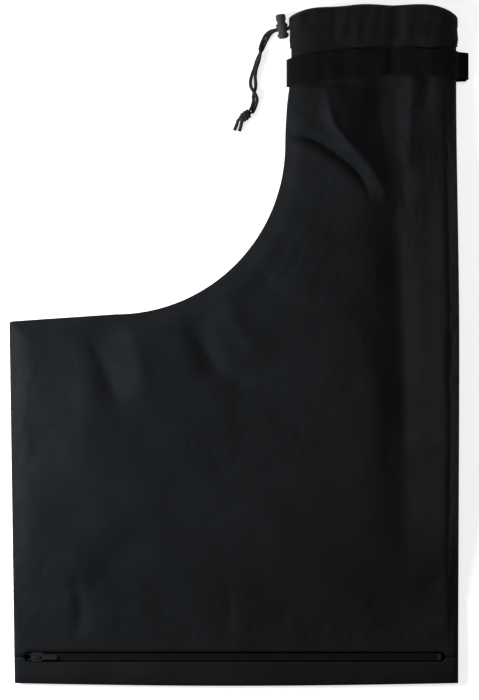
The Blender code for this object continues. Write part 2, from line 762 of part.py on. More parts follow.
def make_knot(bag, looks):
    """The overhand knot in both ends: a barrel with the bulges of its wraps."""
    steps = 4 * KNOT_WRAPS
    profile = [(0.0, KNOT_LENGTH / 2)]
    for i in range(1, steps):
        share = i / steps
        body = math.sqrt(math.sin(math.pi * share))
        wrap = 0.88 + 0.12 * abs(math.sin(math.pi * KNOT_WRAPS * share))
        profile.append((KNOT_WIDTH / 2 * body * wrap, KNOT_LENGTH * (0.5 - share)))
    profile.append((0.0, -KNOT_LENGTH / 2))
    knot = turned("cord_knot", profile, 14, bag, looks["cord"])
    lying = Matrix.Rotation(KNOT_HEADING, 4, "Z") @ Matrix.Diagonal((1, 1, KNOT_FLATTENING, 1))
    place = Matrix.Translation(LOCK_BASE + Vector(KNOT_FROM_LOCK))
    knot.matrix_world = place @ lying @ Matrix.Rotation(math.pi / 2, 4, "Y")


def make_cord_lock(bag, cutters, looks):
    """The cord lock on its side: a cup, the sprung plunger in it and the spring below that."""
    frame = bpy.data.objects.new("cord_lock_frame", None)
    bag.objects.link(frame)
    upright = Matrix.Rotation(LOCK_TILT, 4, "Z") @ Matrix.Rotation(-math.pi / 2, 4, "X")
    frame.matrix_world = Matrix.Translation(LOCK_BASE + Vector((0, 0, LOCK_RADIUS))) @ upright

    bore = PLUNGER_RADIUS + GAP
    floor = LOCK_WALL
    cup = (
        (0.0, floor),
        (bore, floor),
        (bore, LOCK_LENGTH - 0.0004),
        (bore + 0.0003, LOCK_LENGTH),
        (LOCK_RADIUS - 0.0005, LOCK_LENGTH),
        (LOCK_RADIUS, LOCK_LENGTH - 0.0008),
        (LOCK_RADIUS, LOCK_LENGTH * 0.62),
        (LOCK_RADIUS - 0.0003, LOCK_LENGTH * 0.45),
        (LOCK_RADIUS, LOCK_LENGTH * 0.28),
        (LOCK_RADIUS - 0.0005, LOCK_LENGTH * 0.12),
        (LOCK_RADIUS - 0.0018, 0.0003),
        (LOCK_RADIUS - 0.0028, 0.0),
        (0.0, 0.0),
    )
    body = turned("cord_lock_body", cup, 18, bag, looks["lock"])
    body.parent = frame

    half_slot = CORD_STACK + CORD_RADIUS + GAP
    hole_low = LOCK_CORD - CORD_RADIUS - GAP - PLUNGER_TRAVEL
    hole_high = LOCK_CORD + CORD_RADIUS + 2 * GAP
    reach = LOCK_RADIUS * 1.5
    low, high = (-reach, -half_slot, hole_low), (reach, half_slot, hole_high)
    hole = box("lock_hole", low, high, cutters, looks["lock"])
    guide(hole).parent = frame
    combine(body, hole, "DIFFERENCE")

    slot_low = LOCK_CORD - CORD_RADIUS - GAP
    foot = slot_low - 0.0010
    top = PLUNGER_LENGTH
    button = LOCK_LENGTH + PLUNGER_TRAVEL + GAP - foot
    pin = (
        (0.0, top),
        (BUTTON_RADIUS * 0.55, top - 0.0001),
        (BUTTON_RADIUS * 0.88, top - 0.0006),
        (BUTTON_RADIUS, top - 0.0016),
        (BUTTON_RADIUS, button + 0.0004),
        (BUTTON_RADIUS - 0.0004, button),
        (PLUNGER_RADIUS, button),
        (PLUNGER_RADIUS, 0.0003),
        (PLUNGER_RADIUS - 0.0003, 0.0),
        (0.0, 0.0),
    )
    plunger = turned("cord_lock_plunger", pin, 18, bag, looks["lock"])
    plunger.parent = frame
    plunger.location = (0, 0, foot)
    slot_high = hole_high + PLUNGER_TRAVEL + 0.0001
    low, high = (-reach, -half_slot, slot_low), (reach, half_slot, slot_high)
    slot = box("plunger_slot", low, high, cutters, looks["lock"])
    guide(slot).parent = frame
    combine(plunger, slot, "DIFFERENCE")

    low, high = floor + GAP + SPRING_WIRE, foot - GAP - SPRING_WIRE
    turn_points = 10
    count = SPRING_TURNS * turn_points
    coil = []
    for i in range(count + 1):
        angle = 2 * math.pi * i / turn_points
        height = mix(low, high, i / count)
        coil.append(Vector((SPRING_RADIUS * math.cos(angle), SPRING_RADIUS * math.sin(angle), height)))
    spring = tube("cord_lock_spring", coil, SPRING_WIRE, bag, looks["steel"], bevel_resolution=1)
    spring.parent = frame


# Strap


def strap_middle(x):
    """Middle of the strap's upper run along the neck: it droops towards both ends."""
    peak = 0.62
    share = (x - neck_left_x(STRAP_Y)) / (right_x(STRAP_Y) - neck_left_x(STRAP_Y))
    if share < peak:
        return STRAP_Y - STRAP_SAG_LEFT * ((peak - share) / peak) ** 2
    return STRAP_Y - STRAP_SAG_RIGHT * ((share - peak) / (1 - peak)) ** 2


def strap_line():
    """The strap's middle line seen from its end: over the front, round both loops, under the back."""
    lowest = strap_middle(NECK_LEFT_X) - STRAP_WIDTH / 2
    left, right = neck_left_x(lowest), right_x(lowest)
    seam, rise = seam_z(STRAP_Y), plateau(lowest) - seam_z(STRAP_Y)
    off = HALF_FABRIC + GAP + STRAP_THICKNESS / 2 + 0.0002
    over = []
    angles = [math.radians(degrees) for degrees in (0, 20, 40, 60, 78)]

    def roll_point(angle, edge, side):
        out = Vector((-side * math.cos(angle) / NECK_ROLL, math.sin(angle) / rise)).normalized()
        on = Vector((edge + side * NECK_ROLL * (1 - math.cos(angle)), seam + rise * math.sin(angle)))
        return on + out * off

    for angle in angles:
        over.append(roll_point(angle, left, 1))
    first, last = left + NECK_ROLL, right - NECK_ROLL
    count = 14
    for i in range(count + 1):
        x = mix(first, last, i / count)
        band = [strap_middle(x) + STRAP_WIDTH * share for share in (-0.5, -0.25, 0.0, 0.25, 0.5)]
        over.append(Vector((x, max(front_z(x, y) for y in band) + off)))
    for angle in reversed(angles):
        over.append(roll_point(angle, right, -1))

    low = STRAP_THICKNESS / 2
    upper = STRAP_STACK + GAP / 2 + STRAP_THICKNESS / 2
    turn = (upper - low) / 2
    end = RIGHT_X + HALF_FABRIC + STRAP_LOOP - STRAP_THICKNESS / 2
    over.append(Vector((right + off + 0.0006, mix(upper, seam, 0.35))))
    over.append(Vector((right + off + 0.0022, upper)))
    for degrees in (90, 45, 0, -45, -90):
        angle = math.radians(degrees)
        over.append(Vector((end - turn + turn * math.cos(angle), low + turn + turn * math.sin(angle))))
    under = 8
    loop = left - off - 0.0008
    for i in range(1, under + 1):
        over.append(Vector((mix(end - turn, left + 0.0015, i / under), low)))
    over.append(Vector((loop + 0.0007, low + 0.0007)))
    over.append(Vector((loop, low + 0.0022)))
    over.append(Vector((loop + 0.0002, low + 0.0040)))
    return over


def make_strap(bag, looks):
    """The webbing ring round the neck and its free end lapped along the underside."""
    line = strap_line()
    left, right = min(p.x for p in line), max(p.x for p in line)

    def lower_middle(x):
        return mix(strap_middle(left), strap_middle(right), (x - left) / (right - left))

    under_z = SEAM_HEIGHT

    def place(u, v):
        at = line[round(u * len(line)) % len(line)]
        blend = smooth(STRAP_THICKNESS, under_z, at.y)
        y = mix(lower_middle(at.x), strap_middle(at.x), blend) + STRAP_WIDTH * (v - 0.5)
        return Vector((at.x, y, at.y))

    sheet("neck_strap", len(line), 2, place, STRAP_THICKNESS, bag, looks["webbing"], ring=True)

    end = right - STRAP_THICKNESS - GAP
    start = end - LAP_LENGTH
    shift = 0.0012
    corner = 0.0030
    low, high = -STRAP_WIDTH / 2 - shift, STRAP_WIDTH / 2 - shift
    outline = [
        (start, lower_middle(start) + low + corner),
        (start + corner, lower_middle(start) + low),
        (end, lower_middle(end) + low),
        (end, lower_middle(end) + high),
        (start + corner, lower_middle(start) + high),
        (start, lower_middle(start) + high - corner),
    ]
    lap = plate("strap_lap", [outline], STRAP_THICKNESS, bag, looks["webbing"])
    lap.location.z = 1.5 * STRAP_THICKNESS + GAP


# Zip


def make_zip(bag, cutters, looks):
    """Tapes, toothed edges, stops, slider and pull."""
    tape_left = left_x(ZIP_Y) + STRIP_SIDE_ROLL + 0.0005
    tape_right = right_x(ZIP_Y) - STRIP_SIDE_ROLL - 0.0005
    half = TAPE_THICKNESS / 2
    stop_half = TOOTH_THICKNESS / 2 + STOP_PROUD
    teeth_left = SLIDER_START + 0.0008 + POST_LENGTH + 0.0005
    stop_right = ZIP_RIGHT - 0.0012
    stop_left = stop_right - 2 * STOP_LENGTH
    teeth_right = stop_left - GAP
    for name, side in (("upper", 1), ("lower", -1)):
        ys = sorted((ZIP_Y + side * TAPE_INNER, ZIP_Y + side * (TAPE_INNER + TAPE_WIDTH)))
        low, high = (tape_left, ys[0], ZIP_HEIGHT - half), (tape_right, ys[1], ZIP_HEIGHT + half)
        box("zip_tape_" + name, low, high, bag, looks["tape"])
        outline = comb(side, SLIDER_START - 0.0001, teeth_left, teeth_right)
        teeth = plate("zip_teeth_" + name, [outline], TOOTH_THICKNESS, bag, looks["teeth"])
        teeth.location = (0, ZIP_Y, ZIP_HEIGHT)
        ys = sorted((ZIP_Y + side * TOOTH_INNER, ZIP_Y + side * TOOTH_OUTER))
        low = (SLIDER_START - 0.0001 - GAP - STOP_LENGTH, ys[0], ZIP_HEIGHT - stop_half)
        high = (SLIDER_START - 0.0001 - GAP, ys[1], ZIP_HEIGHT + stop_half)
        box("zip_top_stop_" + name, low, high, bag, looks["metal"])
    low = (stop_left, ZIP_Y - TOOTH_OUTER, ZIP_HEIGHT - stop_half)
    high = (stop_right, ZIP_Y + TOOTH_OUTER, ZIP_HEIGHT + stop_half)
    box("zip_bottom_stop", low, high, bag, looks["metal"])
    frame = make_slider(bag, cutters, looks)
    make_pull(bag, frame, looks)


def comb(side, start, first, end):
    """Outline of one row of teeth on its corded edge. The two rows are half a pitch apart."""
    outline = [(end, side * TOOTH_OUTER), (start, side * TOOTH_OUTER), (start, side * TOOTH_INNER)]
    centre = first + TOOTH_HEAD / 2 + (0.0 if side > 0 else ZIP_PITCH / 2)
    while centre + TOOTH_HEAD / 2 < end:
        outline += [
            (centre - TOOTH_ROOT / 2, side * TOOTH_INNER),
            (centre - TOOTH_HEAD / 2, -side * TOOTH_REACH),
            (centre + TOOTH_HEAD / 2, -side * TOOTH_REACH),
            (centre + TOOTH_ROOT / 2, side * TOOTH_INNER),
        ]
        centre += ZIP_PITCH
    outline.append((end, side * TOOTH_INNER))
    return outline


def make_slider(bag, cutters, looks):
    """The slider: two plates with turned-in flanges, the wedge between them and the bridge on top."""
    frame = bpy.data.objects.new("zip_slider_frame", None)
    bag.objects.link(frame)
    frame.location = (SLIDER_X, ZIP_Y, ZIP_HEIGHT)
    half = SLIDER_LENGTH / 2
    inside = TOOTH_THICKNESS / 2 + SLIDER_CLEAR
    lip = TAPE_THICKNESS / 2 + SLIDER_CLEAR
    outline = [
        (-half, 0.45 * SLIDER_FRONT / 2),
        (-half + 0.0013, SLIDER_FRONT / 2),
        (half - 0.0016, SLIDER_TAIL / 2),
        (half, SLIDER_TAIL / 2 - 0.0012),
    ]
    outline += [(x, -y) for x, y in reversed(outline)]
    metal = looks["metal"]
    middle = inside + SLIDER_PLATE / 2
    slider = plate("zip_slider", [outline], SLIDER_PLATE, bag, metal)
    slider.location.z = middle
    slider.parent = frame
    slider = as_mesh(slider)
    pieces = []
    bottom = plate("slider_bottom", [outline], SLIDER_PLATE, cutters, metal)
    bottom.location = frame.location + Vector((0, 0, -middle))
    pieces.append(as_mesh(bottom))
    flange = TOOTH_OUTER + SLIDER_CLEAR
    for side in (1, -1):
        for level in (1, -1):
            ys = sorted((side * flange, side * (SLIDER_TAIL / 2 - 0.0001)))
            zs = sorted((level * lip, level * (inside + SLIDER_PLATE / 2)))
            low = Vector((-half + 0.0013, ys[0], zs[0])) + frame.location
            high = Vector((half - 0.0018, ys[1], zs[1])) + frame.location
            pieces.append(box("slider_flange", low, high, cutters, metal))
    wedge = [
        (-half + 0.0008, 0.0),
        (-half + 0.0016, POST_WIDTH / 2),
        (-half + 0.0008 + POST_LENGTH, 0.0),
        (-half + 0.0016, -POST_WIDTH / 2),
    ]
    post = plate("slider_post", [wedge], 2 * inside + SLIDER_PLATE, cutters, metal)
    post.location = frame.location
    pieces.append(as_mesh(post))
    base, under = inside + SLIDER_PLATE / 2, inside + SLIDER_PLATE + BRIDGE_WINDOW
    outer, inner = BRIDGE_LENGTH / 2, BRIDGE_LENGTH / 2 - BRIDGE_THICKNESS
    top = under + BRIDGE_THICKNESS
    arch = [
        (-outer, base),
        (-outer, top - 0.0006),
        (-outer + 0.0006, top),
        (outer - 0.0006, top),
        (outer, top - 0.0006),
        (outer, base),
        (inner, base),
        (inner, under),
        (-inner, under),
        (-inner, base),
    ]
    bridge = plate("slider_bridge", [arch], BRIDGE_WIDTH, cutters, metal)
    bridge.matrix_world = Matrix.Translation(frame.location) @ Matrix.Rotation(math.pi / 2, 4, "X")
    pieces.append(as_mesh(bridge))
    for piece in pieces:
        combine(slider, guide(piece), "UNION")
    return frame


def make_pull(bag, frame, looks):
    """The pull: a tab with a slot round the bridge, hinged on its end bar."""
    hinge = bpy.data.objects.new("zip_pull_hinge", None)
    bag.objects.link(hinge)
    level = TOOTH_THICKNESS / 2 + SLIDER_CLEAR + SLIDER_PLATE + BRIDGE_WINDOW / 2
    hinge.parent = frame
    hinge.location = (0, 0, level)
    bar = PULL_THICKNESS / 2
    side = PULL_WIDTH / 2
    slot_side = BRIDGE_WIDTH / 2 + 0.0004
    slot_end = BRIDGE_LENGTH / 2 + 0.0012
    tab_end = PULL_LENGTH - bar
    outline = [
        (-bar, side - 0.0006),
        (-bar + 0.0006, side),
        (slot_end + 0.0010, side),
        (slot_end + 0.0030, side - 0.0005),
        (tab_end - 0.0024, side),
        (tab_end - 0.0007, side - 0.0008),
        (tab_end, side - 0.0020),
    ]
    outline += [(x, -y) for x, y in reversed(outline)]
    slot = [(bar, slot_side), (slot_end, slot_side), (slot_end, -slot_side), (bar, -slot_side)]
    pull = plate("zip_pull", [outline, slot], PULL_THICKNESS, bag, looks["metal"])
    pull.parent = hinge


def main():
    """Builds the bag."""
    clear_scene()
    bag = new_collection("blower_vacuum_collection_bag")
    cutters = new_collection("cutters")
    looks = {
        "fabric": material("bag_fabric", (0.010, 0.011, 0.013), 0.62),
        "webbing": material("webbing", (0.006, 0.006, 0.008), 0.80),
        "cord": material("cord", (0.022, 0.022, 0.026), 0.75),
        "lock": material("lock_plastic", (0.035, 0.036, 0.041), 0.45),
        "steel": material("spring_steel", (0.55, 0.56, 0.58), 0.30, 1.0),
        "tape": material("zip_tape", (0.007, 0.007, 0.008), 0.80),
        "teeth": material("zip_teeth", (0.010, 0.010, 0.011), 0.40),
        "metal": material("black_metal", (0.020, 0.020, 0.022), 0.35, 0.6),
    }
    make_panels(bag, looks)
    line = make_casing(bag, looks)
    make_cords(bag, line, looks)
    make_cord_lock(bag, cutters, looks)
    make_strap(bag, looks)
    make_zip(bag, cutters, looks)


main()
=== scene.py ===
"""Looks of the blower vacuum collection bag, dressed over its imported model."""

import math

import bmesh
import bpy
import numpy as np
from mathutils import Matrix, Vector, noise


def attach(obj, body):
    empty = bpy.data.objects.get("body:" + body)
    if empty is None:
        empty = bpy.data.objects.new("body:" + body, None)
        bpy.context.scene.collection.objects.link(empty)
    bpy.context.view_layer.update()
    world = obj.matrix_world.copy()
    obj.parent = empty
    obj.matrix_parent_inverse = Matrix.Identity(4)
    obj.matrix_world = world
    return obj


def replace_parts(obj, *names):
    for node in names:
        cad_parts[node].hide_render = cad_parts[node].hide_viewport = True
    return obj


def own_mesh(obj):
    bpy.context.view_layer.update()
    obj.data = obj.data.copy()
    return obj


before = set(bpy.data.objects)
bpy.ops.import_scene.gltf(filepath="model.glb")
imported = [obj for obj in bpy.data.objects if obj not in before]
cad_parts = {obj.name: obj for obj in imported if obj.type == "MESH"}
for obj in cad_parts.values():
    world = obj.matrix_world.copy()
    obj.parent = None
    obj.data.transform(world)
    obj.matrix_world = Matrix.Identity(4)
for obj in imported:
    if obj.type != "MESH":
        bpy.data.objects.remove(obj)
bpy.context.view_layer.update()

# Sizes repeated from the part's source, in metres
BAG_WIDTH = 0.4102
BAG_LENGTH = 0.62
TOE_HEIGHT = 0.3354
NECK_WIDTH = 0.158
THROAT_RADIUS = 0.155
HEM_TAPER = 0.005
NECK_LEAN = 0.003
HEM_BOW = 0.0025
TOE_FALL = 0.0065
CINCH = 0.0055
FABRIC = 0.0008
GAP = 0.0003
SEAM_HEIGHT = 0.004
MOUTH_SEAM_RISE = 0.0023
SEAM_RUN = 0.0825
LIFT_RUN = 0.0445
BODY_HEIGHT = 0.018
NECK_HEIGHT = 0.02
MOUTH_HEIGHT = 0.017
BODY_ROLL = 0.028
NECK_ROLL = 0.022
BACK_ROLL = 0.005
STRIP_SIDE_ROLL = 0.006
STRIP_HEM_ROLL = 0.014
CASING_HEIGHT = 0.038
CASING_OVERLAP = 0.004
CASING_DROOP = 0.0085
DROOP_LEFT_RUN = 0.022
DROOP_RIGHT_RUN = 0.01
CHANNEL_START = 0.0035
CHANNEL_DEPTH = 0.0095
CHANNEL_END = 0.014
CORD_DIAMETER = 0.0028
CORD_SHOWN = 0.0031
STRAP_WIDTH = 0.0245
STRAP_THICKNESS = 0.0012
STRAP_LOOP = 0.0085
STRAP_TO_MOUTH = 0.052
STRAP_SAG_LEFT = 0.009
STRAP_SAG_RIGHT = 0.0025
LAP_LENGTH = 0.09
ZIP_TO_HEM = 0.0238
ZIP_TO_LEFT = 0.0114
ZIP_TO_RIGHT = 0.0154
ZIP_HEIGHT = 0.006
ZIP_REVEAL = 0.0094
TAPE_THICKNESS = 0.0006
TAPE_INNER = 0.0031
TAPE_WIDTH = 0.011
LOCK_RADIUS = 0.0054
LOCK_TILT = math.radians(8.0)
LOCK_TO_SEAM = 0.0018
LOCK_TO_TOP = 0.0303
LOCK_CORD = 0.0086
KNOT_FROM_LOCK = (-0.0348, -0.0702, 0.0043)
KNOT_HEADING = math.radians(38.5)

HALF_FABRIC = FABRIC / 2
CORD_RADIUS = CORD_DIAMETER / 2
RIGHT_X = (BAG_WIDTH - STRAP_LOOP) / 2 - HALF_FABRIC
LEFT_X = -(BAG_WIDTH + STRAP_LOOP) / 2 + HALF_FABRIC
TOP_Y = BAG_LENGTH / 2
BOTTOM_Y = -BAG_LENGTH / 2 + HALF_FABRIC + HEM_BOW
TOE_Y = BOTTOM_Y + TOE_HEIGHT
NECK_LEFT_X = RIGHT_X - NECK_WIDTH
THROAT_X = NECK_LEFT_X - THROAT_RADIUS
THROAT_Y = TOE_Y + THROAT_RADIUS
PANEL_TOP_Y = TOP_Y - CASING_HEIGHT + CASING_OVERLAP
STRAP_Y = TOP_Y - STRAP_TO_MOUTH
ZIP_Y = BOTTOM_Y + ZIP_TO_HEM
ZIP_LEFT = LEFT_X + HEM_TAPER + ZIP_TO_LEFT
ZIP_RIGHT = RIGHT_X - ZIP_TO_RIGHT
UPPER_HEM_Y = ZIP_Y + ZIP_REVEAL / 2
LOWER_HEM_Y = ZIP_Y - ZIP_REVEAL / 2
HEM_Z = ZIP_HEIGHT + TAPE_THICKNESS / 2 + GAP + HALF_FABRIC
STRAP_STACK = 2 * (STRAP_THICKNESS + GAP)
CHANNEL = CORD_RADIUS + 0.0002 + HALF_FABRIC
CORD_STACK = CORD_RADIUS + GAP / 2
CORD_DEPTH = (CHANNEL_START + CHANNEL_DEPTH) / 2 - 0.0003
LOCK_BASE = Vector((NECK_LEFT_X - LOCK_TO_SEAM, TOP_Y - LOCK_TO_TOP, 0.0))
LOCK_AXIS = Vector((-math.sin(LOCK_TILT), math.cos(LOCK_TILT), 0.0))
LOCK_ACROSS = Vector((math.cos(LOCK_TILT), math.sin(LOCK_TILT), 0.0))
LOCK_CENTRE = LOCK_BASE + Vector((0, 0, LOCK_RADIUS)) + LOCK_AXIS * LOCK_CORD
TOE_SHARE = 0.3
THROAT_SHARE = 0.45
ROLL_SHARE = 3 / 28
BACK_SHARE = 2 / 14

# Values that only the looks have, lengths in metres
LEFT_ROLL = 0.018
RIGHT_ROLL = 0.014
LEFT_DOME = 0.09
RIGHT_DOME = 0.045
LEFT_ROLL_SHARE = 0.58
RIGHT_ROLL_SHARE = 0.68
CASING_TUCK_X = 0.1455
TUCK_WIDTH = 0.0055
TUCK_SHOULDER = 0.02
TUCK_RISE = 0.75
FOLD_LIFT = 0.004
SEAM_GROOVES = ((0.0052, 0.0003), (0.0068, 0.0006))
SEAM_GROOVE_WIDTH = 0.0014
STITCH_PITCH = 0.0031
THREAD_RADIUS = 0.00022
THREAD_ANGLES = (0, 1.257, 2.513, 3.77, 5.027)
ROUTE_SPACING = 0.0012
LOWEST_FRONT = 0.0028
LIMIT_SOFTNESS = 0.0004

# The front's cloth while it settles: shrink_min gives it 0.3% to spare
CLOTH = {
    "quality": 6,
    "mass": 0.02,
    "tension_stiffness": 12.0,
    "compression_stiffness": 12.0,
    "shear_stiffness": 4.0,
    "bending_stiffness": 0.4,
    "shrink_min": -0.003,
}
SETTLING_FRAMES = 14
MOST_SETTLING = 0.0011
SETTLING_GRID = (126, 96)
HELD_RINGS = 4
FRONT_GRID = (190, 250)

# The camera's place over the bag, and the photograph's scale at this level
CAMERA_PLACE = (0.0005, -0.0039)
CAMERA_DISTANCE = 3.0
SCALE_LEVEL = 0.008
METRES_PER_PIXEL = 0.91e-3
PHOTO_HEIGHT = 700
SENSOR_WIDTH = 36.0

# Light: lamps by name, place, target, size and power in watts, the floor's own glow and the world's share
LAMPS = (
    ("key", (-0.66, 0.0, 0.4), (0.0, 0.0, 0.0), 0.34, 11.0),
    ("top", (0.75, 0.9, 0.9), (0.12, 0.2, 0.0), 0.4, 2.6),
)
FLOOR_GLOW = 0.71
WORLD_LIGHT = 0.14

# Small waves: scale, seed, stretch, angle and height
PUCKERS = (75.0, 3.1, (1.0, 1.0), 0.0, 0.0005)
SLACK = (14.0, 7.7, (1.0, 0.5), 0.5, 0.0016)
FINE_SLACK = (33.0, 2.3, (1.0, 0.55), 0.3, 0.0007)
STRAP_GATHERS = (62.0, 5.2, (1.0, 0.16), 0.0, 0.0016)
HEM_WAVES = (48.0, 9.4, (1.0, 0.35), 0.0, 0.0006)
STRIP_WAVES = (40.0, 4.4, (1.0, 1.0), 0.0, 0.0003)
CASING_FOLDS = (52.0, 1.9, (1.0, 0.45), 0.3, 0.5)
CASING_CREASES = (150.0, 6.1, (1.0, 0.25), -0.15, 0.22)

# Routes of the cord's free ends, from the lock's place
UPPER_ROUTE = (
    (-0.0099, 0.0072, 0.0066), (-0.0137, 0.0057, 0.0049), (-0.0167, 0.0029, 0.003), (-0.0188, -0.0011, 0.002),
    (-0.0204, -0.0051, 0.0021), (-0.0214, -0.0088, 0.0037), (-0.0211, -0.0124, 0.0045), (-0.0225, -0.02, 0.004),
    (-0.0248, -0.0273, 0.0039), (-0.0258, -0.0345, 0.0024), (-0.0254, -0.0397, 0.0014),
    (-0.0255, -0.0442, 0.0014), (-0.0268, -0.0488, 0.0014), (-0.0276, -0.0524, 0.0014),
    (-0.0274, -0.0565, 0.0014), (-0.0289, -0.0619, 0.0015), (-0.0303, -0.0646, 0.0027),
)
LOWER_ROUTE = (
    (-0.0095, 0.0066, 0.0033), (-0.0123, 0.0041, 0.002), (-0.0145, 0.0005, 0.0014), (-0.0165, -0.0033, 0.0014),
    (-0.0179, -0.0065, 0.0014), (-0.0192, -0.0093, 0.0014), (-0.0211, -0.0124, 0.0014),
    (-0.0243, -0.0194, 0.0014), (-0.0266, -0.0267, 0.0014), (-0.0292, -0.0339, 0.0014),
    (-0.0302, -0.0397, 0.0014), (-0.0295, -0.0442, 0.0023), (-0.0268, -0.0488, 0.0045),
    (-0.0248, -0.0525, 0.0035), (-0.0241, -0.0561, 0.002), (-0.0261, -0.063, 0.0015),
    (-0.0284, -0.0673, 0.0029),
)
LEFT_TAIL = ((-0.0411, -0.0739, 0.0032), (-0.0425, -0.0777, 0.0022), (-0.0448, -0.0834, 0.0014))
KNOT_END = (-0.0372, -0.0722, 0.004)
RIGHT_TAIL = ((-0.0382, -0.0762, 0.0032), (-0.039, -0.0799, 0.0022), (-0.0404, -0.0843, 0.0014))

# Folds that the solids have too: start, end, width and height
FOLDS = (
    ((RIGHT_X - 0.057, STRAP_Y - 0.03), (RIGHT_X - 0.049, ZIP_Y + 0.052), 0.017, -0.004),
    ((RIGHT_X - 0.017, STRAP_Y - 0.098), (RIGHT_X - 0.016, ZIP_Y + 0.052), 0.008, 0.0022),
    ((RIGHT_X - 0.072, STRAP_Y - 0.02), (RIGHT_X - 0.092, STRAP_Y - 0.088), 0.017, -0.005),
    ((NECK_LEFT_X + 0.043, STRAP_Y - 0.022), (RIGHT_X - 0.08, STRAP_Y - 0.118), 0.009, 0.0024),
    ((RIGHT_X - 0.043, STRAP_Y - 0.018), (RIGHT_X - 0.05, STRAP_Y - 0.113), 0.006, 0.003),
    ((RIGHT_X - 0.029, STRAP_Y - 0.018), (RIGHT_X - 0.031, STRAP_Y - 0.053), 0.006, -0.0026),
    ((NECK_LEFT_X + 0.005, STRAP_Y - 0.062), (RIGHT_X - 0.084, STRAP_Y - 0.106), 0.006, -0.0026),
    ((RIGHT_X - 0.061, STRAP_Y + 0.072), (RIGHT_X - 0.061, STRAP_Y - 0.003), 0.006, -0.0022),
    ((NECK_LEFT_X + 0.026, STRAP_Y + 0.072), (NECK_LEFT_X + 0.029, STRAP_Y + 0.004), 0.008, 0.0008),
    ((RIGHT_X - 0.09, STRAP_Y + 0.072), (RIGHT_X - 0.094, STRAP_Y + 0.004), 0.009, 0.001),
    ((RIGHT_X - 0.022, STRAP_Y + 0.072), (RIGHT_X - 0.024, STRAP_Y + 0.004), 0.008, 0.0012),
    ((THROAT_X + 0.133, TOE_Y + 0.057), (THROAT_X + 0.083, TOE_Y - 0.023), 0.02, 0.0022),
    ((LEFT_X + 0.091, TOE_Y - 0.013), (LEFT_X + 0.097, TOE_Y - 0.088), 0.013, -0.0018),
    ((THROAT_X + 0.08, TOE_Y - 0.008), (THROAT_X + 0.09, TOE_Y - 0.073), 0.012, -0.0018),
    ((LEFT_X + 0.063, ZIP_Y + 0.068), (LEFT_X + 0.067, ZIP_Y + 0.021), 0.006, -0.0012),
    ((THROAT_X + 0.133, TOE_Y - 0.108), (NECK_LEFT_X + 0.028, ZIP_Y + 0.083), 0.03, -0.0018),
)

# Creases that only the looks have: width, height and points
CREASES = (
    (0.0038, -0.005, (
        (0.0464, 0.1909), (0.0601, 0.1899), (0.0737, 0.1845), (0.0874, 0.1754), (0.1028, 0.1636),
        (0.1147, 0.1463), (0.1174, 0.1363),
    )),
    (0.005, 0.0014, ((0.0482, 0.1845), (0.0646, 0.1809), (0.0828, 0.169), (0.0965, 0.1527))),
    (0.0058, 0.0052, (
        (0.0774, 0.2346), (0.0801, 0.226), (0.0865, 0.2009), (0.1028, 0.1799), (0.1174, 0.1645),
        (0.1283, 0.1463), (0.131, 0.1326),
    )),
    (0.009, -0.003, ((0.1265, 0.2346), (0.1283, 0.21), (0.132, 0.185), (0.1356, 0.1554))),
    (0.012, -0.003, ((0.146, 0.248), (0.144, 0.22), (0.14, 0.175))),
    (0.016, -0.0024, ((0.123, 0.248), (0.124, 0.22), (0.127, 0.182))),
    (0.02, -0.0062, ((0.143, 0.15), (0.147, 0.05), (0.151, -0.08), (0.156, -0.23))),
    (0.011, 0.0048, ((0.184, 0.25), (0.185, 0.2), (0.188, 0.14), (0.19, -0.07), (0.188, -0.25))),
    (0.0095, -0.003, ((-0.1374, 0.0098), (-0.126, -0.013), (-0.1083, -0.0584))),
    (0.01, 0.002, ((-0.101, 0.018), (-0.09, -0.013), (-0.087, -0.05))),
    (0.0105, -0.0036, ((-0.0446, 0.022), (-0.03, -0.006), (-0.011, -0.028), (0.0191, -0.0403))),
    (0.01, 0.0022, ((-0.011, 0.048), (0.001, 0.015), (0.023, -0.009))),
    (0.011, -0.0014, ((0.013, 0.078), (0.033, 0.048), (0.07, 0.03))),
    (0.011, 0.0012, ((0.04, 0.125), (0.064, 0.102), (0.09, 0.093))),
    (0.006, -0.0014, ((-0.148, -0.265), (-0.144, -0.245), (-0.147, -0.22))),
    (0.008, -0.0012, ((-0.01, -0.268), (-0.008, -0.24), (-0.011, -0.215))),
    (0.018, 0.0012, ((0.03, -0.145), (0.07, -0.195), (0.105, -0.235))),
    (0.022, -0.0012, ((-0.135, -0.23), (-0.1, -0.18), (-0.04, -0.125))),
)


# Camera, floor and light


def placed(name, data):
    """A new object in the scene."""
    made = bpy.data.objects.new(name, data)
    bpy.context.scene.collection.objects.link(made)
    return made


def math_node(tree, operation, *values):
    """Result of a math node on numbers or sockets."""
    node = tree.nodes.new("ShaderNodeMath")
    node.operation = operation
    for place, value in zip(node.inputs, values):
        if isinstance(value, bpy.types.NodeSocket):
            tree.links.new(value, place)
        else:
            place.default_value = value
    return node.outputs[0]


def seen_rays(tree):
    """1 for rays that show a thing to the camera, straight, mirrored or through glass, else 0."""
    path = tree.nodes.new("ShaderNodeLightPath").outputs
    seen = math_node(tree, "MAXIMUM", path["Is Camera Ray"], path["Is Glossy Ray"])
    return math_node(tree, "MAXIMUM", seen, path["Is Transmission Ray"])


